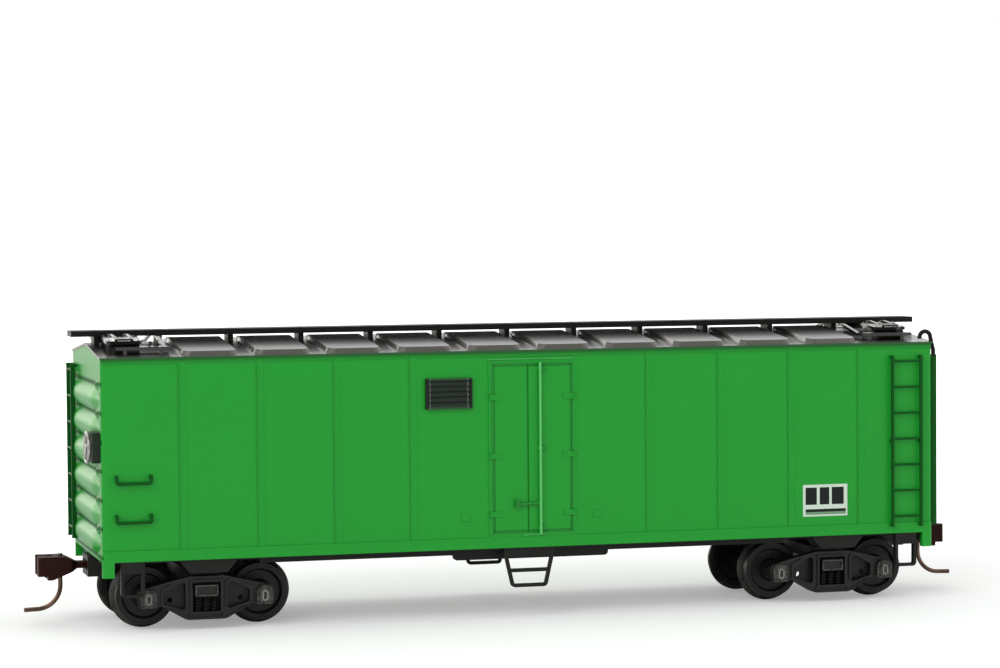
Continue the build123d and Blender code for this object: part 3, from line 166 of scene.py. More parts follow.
# Directions out of the near side and the plain end, and up
NEAR = (0, -1, 0)
PLAIN_END = (1, 0, 0)
UP = (0, 0, 1)
DOWN = (0, 0, -1)

# Width in pixels of the picture that the focal length is given for
PICTURE_WIDTH = 1000

# CAD nodes that share a finish
SIDE_NODES = ["side_near", "side_far", "end_plain", "end_brake", "doors_near", "doors_far"]
LOCK_NODES = ["door_lock_near", "door_lock_far"]
SIDE_TRIM_NODES = [
    "side_ladder_near", "side_ladder_far", "end_ladder_plain", "end_ladder_brake",
    "grab_irons_near", "grab_irons_far",
]
HATCH_NODES = [
    "ice_hatch_near_plus", "ice_hatch_far_plus", "ice_hatch_near_minus", "ice_hatch_far_minus",
    "hatch_platforms_plus", "hatch_platforms_minus",
]
BOARD_NODES = ["running_board", "board_saddles"]
FRAME_NODES = [
    "underframe", "brake_cylinder", "air_reservoir", "control_valve", "coupler_box_plus",
    "coupler_box_minus", "corner_steps_plus", "corner_steps_minus", "centre_steps",
]
LOUVRE_NODES = ["louvre_near", "louvre_far", "brake_housing"]
TRUCK_NODES = ["truck_frame_plus", "truck_frame_minus"]
COUPLER_NODES = ["coupler_plus", "coupler_minus"]
PIN_NODES = ["trip_pin_plus", "trip_pin_minus"]
STEEL_NODES = ["truck_screw_plus", "truck_screw_minus", "steel_weight", "brake_wheel"]
ENDS = ("plus", "minus")
WHEELSETS = [end + "_" + place for end in ENDS for place in ("outer", "inner")]


def srgb(red, green, blue):
    """A colour as read from a screen, 0 to 255, in linear values: each channel over 255, less
    its foot, raised to 2.4 (or over 12.92 in the dark part)."""
    channel = np.array([red, green, blue], float) / 255
    linear = np.where(channel > 0.04045, ((channel + 0.055) / 1.055) ** 2.4, channel / 12.92)
    return tuple(float(value) for value in linear)


# Surfaces worked out on grids


def mesh_object(name, points, faces, smooth=True):
    """An object at the origin from an array of corner points and an array of faces, with its
    poles and seams closed and its faces turned outward."""
    mesh = bpy.data.meshes.new(name)
    mesh.from_pydata(np.asarray(points, float).tolist(), [], np.asarray(faces, int).tolist())
    work = bmesh.new()
    work.from_mesh(mesh)
    bmesh.ops.remove_doubles(work, verts=work.verts, dist=WELD)
    bmesh.ops.recalc_face_normals(work, faces=work.faces)
    work.to_mesh(mesh)
    work.free()
    mesh.polygons.foreach_set("use_smooth", np.full(len(mesh.polygons), smooth))
    mesh.update()
    piece = bpy.data.objects.new(name, mesh)
    bpy.context.scene.collection.objects.link(piece)
    return piece


def grid_faces(rows, columns, close_rows=False, close_columns=False):
    """Four-sided faces of a grid of rows by columns: each joins a point, its right
    neighbour and the two below, and a closed direction wraps round to the first."""
    row_count = rows if close_rows else rows - 1
    column_count = columns if close_columns else columns - 1
    row, column = np.meshgrid(np.arange(row_count), np.arange(column_count), indexing="ij")
    next_row = (row + 1) % rows
    next_column = (column + 1) % columns
    faces = np.stack([
        row * columns + column,
        row * columns + next_column,
        next_row * columns + next_column,
        next_row * columns + column,
    ], axis=-1)
    return faces.reshape(-1, 4)


def copies(grid, places):
    """The same shape at many places: the points are added to each place, and each copy's
    faces count on from the copies before it."""
    points, faces = grid
    places = np.asarray(places, float)
    all_points = (places[:, None, :] + points[None, :, :]).reshape(-1, 3)
    steps = np.arange(len(places)) * len(points)
    all_faces = (steps[:, None, None] + faces[None, :, :]).reshape(-1, faces.shape[1])
    return all_points, all_faces


def axes_for(direction):
    """Three unit directions with the given one last, right-handed."""
    out = np.asarray(direction, float)
    out = out / np.linalg.norm(out)
    helper = np.array([0.0, 0.0, 1.0]) if abs(out[2]) < 0.9 else np.array([1.0, 0.0, 0.0])
    first = np.cross(helper, out)
    first = first / np.linalg.norm(first)
    return np.stack([first, np.cross(out, first), out])


def lathe(profile, direction, origin=(0, 0, 0), sides=24):
    """A turned piece: a profile of (radius, distance along the axis) carried round the axis."""
    profile = np.asarray(profile, float)
    s = np.arange(sides) * 2 * math.pi / sides
    local = np.stack([
        profile[:, :1] * np.cos(s)[None, :],
        profile[:, :1] * np.sin(s)[None, :],
        np.broadcast_to(profile[:, 1:], (len(profile), sides)),
    ], axis=-1).reshape(-1, 3)
    points = local @ axes_for(direction) + np.asarray(origin, float)
    return points, grid_faces(len(profile), sides, close_columns=True)


def rivet(diameter, height, direction, sides=8, rings=3):
    """A round head with its foot just under the surface: the radius falls as R cos t while
    the rise grows as H sin t, with t from the foot up to the crown."""
    t = np.linspace(0, math.pi / 2, rings)
    crown = np.stack([diameter / 2 * np.cos(t), height * np.sin(t)], axis=-1)
    foot = [(0, -height), (diameter / 2, -height)]
    return lathe(np.concatenate([foot, crown]), direction, sides=sides)


def hex_bolt(width, height, direction):
    """A six-sided bolt head whose top edge is drawn in, with its foot under the surface."""
    half = width / 2
    profile = [(0, -height), (half, -height), (half, height * 0.7), (half * 0.78, height), (0, height)]
    return lathe(profile, direction, sides=6)


def tube(path, diameter, sides=10, closed=False):
    """A round bar along a path: at each path point stands a circle square to the path, whose
    first direction keeps as near as it can to the one that the path is flattest in, so the
    bar doesn't twist. An open bar's ends close to points."""
    path = np.asarray(path, float)
    if closed:
        tangent = np.roll(path, -1, axis=0) - np.roll(path, 1, axis=0)
    else:
        tangent = np.gradient(path, axis=0)
    tangent /= np.linalg.norm(tangent, axis=1, keepdims=True)
    spread = path - path.mean(axis=0)
    flat = np.linalg.svd(spread)[2][2]
    along = abs(tangent[0] @ flat) > 0.9
    normal = axes_for(tangent[0])[0] if along else flat
    first = normal[None, :] - tangent * (tangent @ normal)[:, None]
    first /= np.linalg.norm(first, axis=1, keepdims=True)
    second = np.cross(tangent, first)
    radius = np.full(len(path), diameter / 2)
    if not closed:
        path = np.concatenate([path[:1], path, path[-1:]])
        first = np.concatenate([first[:1], first, first[-1:]])
        second = np.concatenate([second[:1], second, second[-1:]])
        radius = np.concatenate([[0.0], radius, [0.0]])
    s = np.arange(sides) * 2 * math.pi / sides
    across = first[:, None, :] * np.cos(s)[None, :, None]
    ring = across + second[:, None, :] * np.sin(s)[None, :, None]
    points = path[:, None, :] + ring * radius[:, None, None]
    return points.reshape(-1, 3), grid_faces(len(path), sides, close_rows=closed, close_columns=True)


def bent_path(corners, radius, steps=6):
    """A path through corner points whose corners are rounded: each corner becomes the curve
    (1-t)^2 A + 2t(1-t) C + t^2 B between points A and B a radius away from the corner C."""
    corners = np.asarray(corners, float)
    before = corners[:-2] - corners[1:-1]
    after = corners[2:] - corners[1:-1]
    before /= np.linalg.norm(before, axis=1, keepdims=True)
    after /= np.linalg.norm(after, axis=1, keepdims=True)
    t = np.linspace(0, 1, steps)[None, :, None]
    middle = corners[1:-1, None, :]
    start = middle + before[:, None, :] * radius
    end = middle + after[:, None, :] * radius
    bends = (1 - t) ** 2 * start + 2 * t * (1 - t) * middle + t ** 2 * end
    return np.concatenate([corners[:1], bends.reshape(-1, 3), corners[-1:]])


def slab(centre, half_sizes, edge, along=(1, 0, 0), up=(0, 0, 1)):
    """A thin plate with eased edges: a rounded rectangle at six levels through its thickness.
    The outer levels shrink it to a point, and the next ones draw it in by the edge."""
    out = np.cross(np.asarray(along, float), np.asarray(up, float))
    turn = np.array([along, up, out], float)
    wide, high, thick = half_sizes
    quarter = np.linspace(0, math.pi / 2, 4)
    s = np.concatenate([quarter + step * math.pi / 2 for step in range(4)])
    corner = np.repeat([(1, 1), (-1, 1), (-1, -1), (1, -1)], 4, axis=0)
    across = corner[:, 0] * (wide - edge) + np.cos(s) * edge
    rise = corner[:, 1] * (high - edge) + np.sin(s) * edge
    share = np.array([0, 1 - edge / wide, 1, 1, 1 - edge / wide, 0])
    share_high = np.array([0, 1 - edge / high, 1, 1, 1 - edge / high, 0])
    level = np.array([-thick, -thick, edge - thick, thick - edge, thick, thick])
    local = np.stack([
        share[:, None] * across[None, :],
        share_high[:, None] * rise[None, :],
        np.broadcast_to(level[:, None], (6, 16)),
    ], axis=-1).reshape(-1, 3)
    return local @ turn + np.asarray(centre, float), grid_faces(6, 16, close_columns=True)


def joined(parts):
    """Several grids as one: each grid's faces count on from the grids before it."""
    counts = np.cumsum([0] + [len(points) for points, _ in parts[:-1]])
    points = np.concatenate([points for points, _ in parts])
    faces = np.concatenate([faces + count for (_, faces), count in zip(parts, counts)])
    return points, faces


def scaled(grid, x, y):
    """The same grid with its X and Y multiplied, which mirrors it or turns it half round."""
    points, faces = grid
    return points * np.array([x, y, 1]), faces


def both_sides(parts):
    """Grids of the near side, and again half a turn round at the far side."""
    near = joined(parts)
    return [near, scaled(near, -1, -1)]


def four_corners(parts):
    """Grids of the near right corner, and again at the other three."""
    corner = joined(parts)
    return [scaled(corner, x, y) for x in (1, -1) for y in (1, -1)]


def points_at(xs, ys, zs):
    """Every point of a lattice given by its values along each axis."""
    x, y, z = np.meshgrid(np.atleast_1d(xs), np.atleast_1d(ys), np.atleast_1d(zs), indexing="ij")
    return np.stack([x, y, z], axis=-1).reshape(-1, 3)


def finish_named(name):
    """A finish that an earlier step has made."""
    material = bpy.data.materials.get(name)
    if material is None:
        raise RuntimeError("the finish " + name + " isn't made yet; run the finishes first")
    return material


def fitting(name, body, finish, parts, smooth=True):
    """One fitting from its grids, with its finish and slot, riding on a body of the frame."""
    points, faces = joined(parts)
    piece = mesh_object(name, points, faces, smooth)
    piece.data.materials.append(finish_named(finish))
    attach(piece, body)
    return piece


# Finishes


def node(tree, kind, inputs=None, **settings):
    """A shader node with its settings, its inputs given as values or as sockets to link."""
    made = tree.nodes.new(kind)
    for key, value in settings.items():
        setattr(made, key, value)
    for key, value in (inputs or {}).items():
        if isinstance(value, bpy.types.NodeSocket):
            tree.links.new(value, made.inputs[key])
        else:
            made.inputs[key].default_value = value
    return made


def maths(tree, operation, *values):
    """The result of a Math node on one, two or three values or sockets."""
    return node(tree, "ShaderNodeMath", dict(enumerate(values)), operation=operation).outputs[0]


def product(tree, *values):
    """Several values or sockets multiplied together."""
    result = values[0]
    for value in values[1:]:
        result = maths(tree, "MULTIPLY", result, value)
    return result


def distance(tree, value, place):
    """How far a value lies from a place, on either side of it."""
    return maths(tree, "ABSOLUTE", maths(tree, "SUBTRACT", value, place))


def ramp(tree, value, start, end, low=0.0, high=1.0):
    """A smooth step of a value from low at the start to high at the end."""
    inputs = {"Value": value, "From Min": start, "From Max": end, "To Min": low, "To Max": high}
    step = node(tree, "ShaderNodeMapRange", inputs, interpolation_type="SMOOTHSTEP")
    return step.outputs["Result"]


def blend(tree, factor, first, second):
    """A colour between two colours or colour sockets."""
    mix = node(tree, "ShaderNodeMix", {"Factor": factor}, data_type="RGBA")
    for socket, value in ((mix.inputs[6], first), (mix.inputs[7], second)):
        if isinstance(value, bpy.types.NodeSocket):
            tree.links.new(value, socket)
        else:
            socket.default_value = tuple(value[:3]) + (1.0,)
    return mix.outputs[2]


def times(colour, factor):
    """A colour made lighter or darker."""
    return tuple(min(value * factor, 1.0) for value in colour)


def coordinates(tree):
    """The object coordinates, whole and as X, Y and Z in millimetres."""
    place = node(tree, "ShaderNodeTexCoord").outputs["Object"]
    millimetres = node(tree, "ShaderNodeVectorMath", {0: place, "Scale": 1 / MM}, operation="SCALE")
    parts = node(tree, "ShaderNodeSeparateXYZ", {"Vector": millimetres.outputs[0]})
    return place, parts.outputs["X"], parts.outputs["Y"], parts.outputs["Z"]


def new_material(name):
    """An empty material with its output and its principled shader."""
    material = bpy.data.materials.new(name)
    material.use_nodes = True
    material.node_tree.nodes.clear()
    tree = material.node_tree
    shader = node(tree, "ShaderNodeBsdfPrincipled")
    output = node(tree, "ShaderNodeOutputMaterial")
    tree.links.new(shader.outputs["BSDF"], output.inputs["Surface"])
    return material, tree, shader


def moulded(name, colour, roughness, grain=0.01, mottle=0.06, specular=0.5, coat=0.0,
            shade_and_wear=None, gloss_shade=None):
    """Painted or bare moulded plastic: a faint mottle in its colour, a fine orange peel in its
    surface and a sheen that comes and goes a little with the peel. The shading argument takes
    the tree and the colour and gives the colour with its painted shade, painted highlights and
    worn places; the gloss argument gives the share of gloss taken out, as painted shade."""
    material, tree, shader = new_material(name)
    place, _, _, _ = coordinates(tree)
    broad = node(tree, "ShaderNodeTexNoise", {"Vector": place, "Scale": MOTTLE_SCALE, "Detail": 4.0})
    fine = node(tree, "ShaderNodeTexNoise", {"Vector": place, "Scale": PEEL_SCALE, "Detail": 2.0})
    tint = blend(tree, broad.outputs["Fac"], times(colour, 1 - mottle), times(colour, 1 + mottle))
    if shade_and_wear:
        tint = shade_and_wear(tree, tint)
    sheen = ramp(tree, fine.outputs["Fac"], 0.3, 0.7, roughness * 0.9, roughness * 1.1)
    bump_inputs = {"Height": fine.outputs["Fac"], "Strength": 0.6, "Distance": grain * MM}
    peel = node(tree, "ShaderNodeBump", bump_inputs)
    tree.links.new(tint, shader.inputs["Base Color"])
    tree.links.new(sheen, shader.inputs["Roughness"])
    tree.links.new(peel.outputs["Normal"], shader.inputs["Normal"])
    shader.inputs["Specular IOR Level"].default_value = specular
    shader.inputs["Coat Weight"].default_value = coat
    shader.inputs["Coat Roughness"].default_value = 0.12
    if gloss_shade:
        kept = maths(tree, "SUBTRACT", 1.0, gloss_shade(tree))
        tree.links.new(product(tree, kept, specular), shader.inputs["Specular IOR Level"])
        tree.links.new(product(tree, kept, coat), shader.inputs["Coat Weight"])
    return material


def line_at(tree, value, place, width):
    """One at a place along a value, falling softly to nothing half a width away from it."""
    return ramp(tree, distance(tree, value, place), width / 2, width / 10)


def repeated_line(tree, value, pitch, place, width):
    """A line that comes again at every pitch: whole pitches are taken off the value until half
    a pitch or less is left, and the line is drawn where that is at its place."""
    off = maths(tree, "WRAP", value, pitch / 2, -pitch / 2)
    return line_at(tree, off, place, width)


def between(tree, value, low, high, soft=0.3):
    """One between two limits of a value, with soft ends."""
    rise = ramp(tree, value, low - soft / 2, low + soft / 2)
    fall = ramp(tree, value, high + soft / 2, high - soft / 2)
    return product(tree, rise, fall)


def seen_along(tree, x, y):
    """Distance along a side to the right of its middle, as seen from in front of that side."""
    return product(tree, x, product(tree, maths(tree, "SIGN", y), -1.0))


def seam_shade_lines(tree, along, z):
    """A soft line of painted shade along the left edge of each seam, from the sill band up to the top
    band.
    The distance from the middle is lengthened by half a seam to the right and shortened to the left."""
    edge = product(tree, maths(tree, "SIGN", along), SEAM_WIDTH / 2)
    reach = maths(tree, "ADD", maths(tree, "ABSOLUTE", along), edge)
    beyond = maths(tree, "SUBTRACT", reach, FIRST_SEAM)
    line = repeated_line(tree, beyond, SEAM_PITCH, 0.0, SEAM_LINE)
    inside = between(tree, beyond, -1.0, (SEAM_COUNT - 1) * SEAM_PITCH + 1.0)
    upright = between(tree, z, SILL_BOTTOM / MM + SILL_BAND, SIDE_TOP / MM - TOP_BAND)
    return product(tree, line, inside, upright)


def door_shade_lines(tree, along, y, z):
    """Shade round the doorway, where its leaves meet and beside the lock rod. The distance to
    the doorway's outline is the larger of how far a point lies beyond its half width and its
    half height."""
    wide = maths(tree, "SUBTRACT", maths(tree, "ABSOLUTE", along), DOOR_HALF_WIDTH)
    rise = distance(tree, z, SILL_BOTTOM / MM + DOOR_MIDDLE)
    high = maths(tree, "SUBTRACT", rise, DOOR_HALF_HEIGHT)
    outline = line_at(tree, maths(tree, "MAXIMUM", wide, high), 0.05, DOORWAY_LINE)
    inside = ramp(tree, high, 0.0, -0.3)
    left, right = (line_at(tree, along, edge, LEAF_LINE) for edge in (MEETING_EDGE, LOCK_EDGE))
    beside = product(tree, maths(tree, "MAXIMUM", left, right), inside, 0.7)
    front, back = (SHEET / MM + proud for proud in STRAP_SHADE)
    under_straps = ramp(tree, maths(tree, "ABSOLUTE", y), front, back)
    return product(tree, maths(tree, "MAXIMUM", outline, beside), under_straps)


def rib_groove_shade(tree, x, z):
    """Shade at the foot of each end rib, halfway between one rib's middle and the next."""
    first = SILL_BOTTOM / MM + LOWEST_RIB + RIB_PITCH / 2
    beyond = maths(tree, "SUBTRACT", z, first)
    groove = repeated_line(tree, beyond, RIB_PITCH, 0.25, RIB_LINE)
    rows = between(tree, beyond, -RIB_PITCH, RIB_PITCH * (RIB_ROWS - 0.4))
    end = HALF_LENGTH / MM
    at_end = between(tree, maths(tree, "ABSOLUTE", x), end - 0.15, end + 0.5, 0.25)
    return product(tree, groove, rows, at_end)


def groove_gloss_shade(tree):
    """Share of gloss taken out in the grooves between the end ribs, as painted shade that darkens them.
    """
    _, x, _, z = coordinates(tree)
    return product(tree, rib_groove_shade(tree, x, z), 0.95)


def side_paint_and_shade(tree, tint):
    """Paint of the sides and ends, with painted shade drawn softly along its seams, round its doorway and
    at its rib feet, and darker under the eave, as painted shade of the eave and the black of the roof
    running over the edge."""
    _, x, y, z = coordinates(tree)
    along = seen_along(tree, x, y)
    top, face = SIDE_TOP / MM, SHEET / MM
    eave_shade = ramp(tree, z, top - 1.0, top - 0.1)
    on_side = ramp(tree, maths(tree, "ABSOLUTE", y), face - 0.5, face - 0.3)
    # Painted shade: the darkest of the seam, doorway, rib-foot and eave shades, blended toward deep green
    dark = 0.0
    for shade, strength in (
        (seam_shade_lines(tree, along, z), 0.1),
        (door_shade_lines(tree, along, y, z), 0.2),
        (rib_groove_shade(tree, x, z), 0.75),
        (product(tree, eave_shade, on_side), 0.5),
    ):
        dark = maths(tree, "MAXIMUM", product(tree, shade, strength), dark)
    return blend(tree, dark, tint, srgb(8, 52, 18))


def lock_rod_highlight(tree, tint):
    """Green of the door lock, with a painted highlight along its upright rod."""
    _, x, y, _ = coordinates(tree)
    rod = line_at(tree, seen_along(tree, x, y), LOCK_ROD_OFFSET, ROD_LINE)
    return blend(tree, rod, tint, srgb(92, 205, 108))


def roof_shade_and_sheen(tree, tint):
    """Black of the roof: darker toward the ridge as painted shade under the running board, lighter
    toward the eave as a painted sheen in a dusty tone, and green where the side's paint reaches the drip
    edge."""
    _, _, y, z = coordinates(tree)
    out = maths(tree, "ABSOLUTE", y)
    top = SIDE_TOP / MM
    # Painted shade under the running board toward the ridge, then a painted sheen in a dusty tone toward
    # the eave
    tint = blend(tree, ramp(tree, out, *RIDGE_SHADE, 0.0, 0.6), tint, srgb(12, 12, 11))
    tint = blend(tree, ramp(tree, out, *EAVE_SHEEN_AND_DUST, 0.0, 0.3), tint, srgb(150, 146, 135))
    drip = product(tree, ramp(tree, out, *DRIP_EDGE), ramp(tree, z, top + 0.5, top + 0.3))
    return blend(tree, drip, tint, srgb(18, 84, 32))


def louvre_shades(tree, tint):
    """Black of the louvre: green along its top and foot, a pale line inside each upright edge
    and darkest at the edge itself. The brake wheel's housing shares it and lies outside those
    edges, so it is all dark."""
    _, x, y, z = coordinates(tree)
    off = distance(tree, seen_along(tree, x, y), -LOUVRE_OFFSET)
    rise = distance(tree, z, SILL_BOTTOM / MM + LOUVRE_MIDDLE)
    tint = blend(tree, ramp(tree, rise, *LOUVRE_RIM, 0.0, 0.6), tint, srgb(44, 92, 48))
    tint = blend(tree, line_at(tree, off, LOUVRE_EDGE, LOUVRE_LINE), tint, srgb(84, 92, 86))
    return blend(tree, ramp(tree, off, *LOUVRE_SIDE, 0.0, 0.85), tint, srgb(4, 18, 6))


def noise_broken(tree, place, scale, share):
    """A share broken up by a noise, for the trucks' painted highlights and the worn, highlit treads."""
    scuff = node(tree, "ShaderNodeTexNoise", {"Vector": place, "Scale": scale, "Detail": 3.0})
    return product(tree, share, ramp(tree, scuff.outputs["Fac"], 0.3, 0.6))


def truck_shade_and_highlight(tree, tint):
    """Black of the trucks: painted shade, darkest in the openings, and a painted highlight, broken up by
    a noise, on the lids, rims and boxes that stand out furthest."""
    place, _, y, _ = coordinates(tree)
    out = maths(tree, "ABSOLUTE", y)
    tint = blend(tree, ramp(tree, out, *TRUCK_OPENING_SHADE, 0.0, 0.75), tint, srgb(6, 6, 5))
    proud_highlight = noise_broken(tree, place, TRUCK_HIGHLIGHT_SCALE, ramp(tree, out, *TRUCK_PROUD_HIGHLIGHT, 0.0, 0.8))
    return blend(tree, proud_highlight, tint, srgb(84, 85, 80))


def wheel_wear_and_highlight(axle_x, axle_z):
    """Black of a wheelset whose treads are lighter, worn and with a painted highlight: the distance
    from the axle is taken in the plane square to it, and the lighter band starts just inside the tread."""
    def tread_wear_and_highlight(tree, tint):
        """The colour with the tread's worn and painted-highlight band on it, for this wheelset."""
        place, x, _, z = coordinates(tree)
        across = maths(tree, "SUBTRACT", x, axle_x / MM)
        rise = maths(tree, "SUBTRACT", z, axle_z / MM)
        square = maths(tree, "ADD", product(tree, across, across), product(tree, rise, rise))
        out = ramp(tree, maths(tree, "SQRT", square), *TREAD_WEAR_AND_HIGHLIGHT, 0.0, 0.45)
        return blend(tree, noise_broken(tree, place, TREAD_WEAR_AND_HIGHLIGHT_SCALE, out), tint, srgb(88, 84, 78))
    return tread_wear_and_highlight


def pin_tip_highlight(tree, tint):
    """Pale top of a trip pin, above the coupler's head, as a painted highlight."""
    _, _, _, z = coordinates(tree)
    return blend(tree, ramp(tree, z, PIN_TIP - 0.2, PIN_TIP), tint, srgb(205, 202, 196))


def turned_metal(name, colour, roughness, shade_and_wear=None):
    """Turned or drawn metal: fine upright lines in its surface and a slight stain."""
    material, tree, shader = new_material(name)
    place, _, _, _ = coordinates(tree)
    stretch = node(tree, "ShaderNodeMapping", {"Vector": place, "Scale": DRAWN_SCALE})
    line_inputs = {"Vector": stretch.outputs["Vector"], "Scale": 1.0, "Detail": 2.0}
    lines = node(tree, "ShaderNodeTexNoise", line_inputs)
    stain = node(tree, "ShaderNodeTexNoise", {"Vector": place, "Scale": STAIN_SCALE, "Detail": 3.0})
    stained = ramp(tree, stain.outputs["Fac"], 0.3, 0.7)
    tint = blend(tree, stained, times(colour, 0.6), times(colour, 1.25))
    if shade_and_wear:
        tint = shade_and_wear(tree, tint)
    sheen = ramp(tree, lines.outputs["Fac"], 0.0, 1.0, roughness * 0.7, roughness * 1.4)
    scratch_inputs = {"Height": lines.outputs["Fac"], "Strength": 0.4, "Distance": 0.004 * MM}
    scratch = node(tree, "ShaderNodeBump", scratch_inputs)
    tree.links.new(tint, shader.inputs["Base Color"])
    tree.links.new(sheen, shader.inputs["Roughness"])
    tree.links.new(scratch.outputs["Normal"], shader.inputs["Normal"])
    shader.inputs["Metallic"].default_value = 1.0
    return material


def dress(nodes, material):
    """Give CAD nodes a finish in place of their packed one."""
    for name in nodes:
        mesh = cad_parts[name].data
        mesh.materials.clear()
        mesh.materials.append(material)


class ReeferFinish(bpy.types.PropertyGroup):
    """Colours of the car."""

    body_colour: bpy.props.FloatVectorProperty(
        name="Body", description="Green of the sides, ends and doors",
        subtype="COLOR", size=3, min=0, max=1, default=srgb(22, 160, 44))
    roof_colour: bpy.props.FloatVectorProperty(
        name="Roof", description="Black of the roof and hatches",
        subtype="COLOR", size=3, min=0, max=1, default=srgb(36, 35, 31))
    frame_colour: bpy.props.FloatVectorProperty(
        name="Underframe", description="Black of the underframe and trucks",
        subtype="COLOR", size=3, min=0, max=1, default=srgb(25, 26, 22))
    coupler_colour: bpy.props.FloatVectorProperty(
        name="Couplers", description="Dark brown of the couplers",
        subtype="COLOR", size=3, min=0, max=1, default=srgb(46, 20, 16))
    placard_colour: bpy.props.FloatVectorProperty(
        name="Placard", description="White of the blank placard's frame",
        subtype="COLOR", size=3, min=0, max=1, default=srgb(215, 232, 216))
    body_roughness: bpy.props.FloatProperty(
        name="Body Roughness", description="How dull the green paint is",
        subtype="FACTOR", min=0, max=1, default=0.34)


class ReeferFittings(bpy.types.PropertyGroup):
    """Sizes of the small fittings."""

    rivet_diameter: bpy.props.FloatProperty(
        name="Rivet Diameter", description="Width of a rivet head on the body",
        subtype="DISTANCE", unit="LENGTH", min=0.0001, max=0.001, default=0.2 * MM)
    rivet_height: bpy.props.FloatProperty(
        name="Rivet Height", description="How far a rivet head stands out",
        subtype="DISTANCE", unit="LENGTH", min=0.00001, max=0.0005, default=0.045 * MM)
    rivet_pitch: bpy.props.FloatProperty(
        name="Rivet Pitch", description="Distance between the rivets of a row",
        subtype="DISTANCE", unit="LENGTH", min=0.0003, max=0.01, default=1.0 * MM)
    bolt_diameter: bpy.props.FloatProperty(
        name="Bolt Diameter", description="Width of a bolt head on the ladders, doors and trucks",
        subtype="DISTANCE", unit="LENGTH", min=0.0001, max=0.002, default=0.32 * MM)
    placard_length: bpy.props.FloatProperty(
        name="Placard Length", description="Length of the blank placard on each side",
        subtype="DISTANCE", unit="LENGTH", min=0.002, max=0.02, default=8.2 * MM)
    placard_height: bpy.props.FloatProperty(
        name="Placard Height", description="Height of the blank placard on each side",
        subtype="DISTANCE", unit="LENGTH", min=0.002, max=0.02, default=5.5 * MM)
    brake_rod_diameter: bpy.props.FloatProperty(
        name="Brake Rod Diameter", description="Thickness of the brake rods under the floor",
        subtype="DISTANCE", unit="LENGTH", min=0.0001, max=0.002, default=0.45 * MM)


class ReeferStage(bpy.types.PropertyGroup):
    """Camera and light."""

    focal_pixels: bpy.props.FloatProperty(
        name="Focal Length", description="Camera's focal length in pixels of a 1000 pixel wide picture",
        min=100, max=10000, default=2990.0)
    camera_place: bpy.props.FloatVectorProperty(
        name="Camera Place", description="Where the camera stands",
        subtype="TRANSLATION", unit="LENGTH", size=3, default=(-0.13834, -0.49873, 0.06845))
    camera_yaw: bpy.props.FloatProperty(
        name="Camera Yaw", description="Turn of the camera toward the plain end",
        subtype="ANGLE", unit="ROTATION", default=0.2692)
    camera_pitch: bpy.props.FloatProperty(
        name="Camera Pitch", description="Downward tilt of the camera",
        subtype="ANGLE", unit="ROTATION", default=0.04117)
    camera_roll: bpy.props.FloatProperty(
        name="Camera Roll", description="Roll of the camera",
        subtype="ANGLE", unit="ROTATION", default=-0.00724)
    world_strength: bpy.props.FloatProperty(
        name="Sky Light", description="Strength of the even light from all round",
        min=0, max=5, default=0.58)
    key_power: bpy.props.FloatProperty(
        name="Key Light", description="Power of the large lamp at the front left",
        subtype="POWER", unit="POWER", min=0, max=100, default=4.8)
    fill_power: bpy.props.FloatProperty(
        name="Fill Light", description="Power of the lamps at the front right and above",
        subtype="POWER", unit="POWER", min=0, max=100, default=2.0)
    rim_power: bpy.props.FloatProperty(
        name="Rim Light", description="Power of the lamp behind, which the brake end mirrors",
        subtype="POWER", unit="POWER", min=0, max=100, default=3.0)


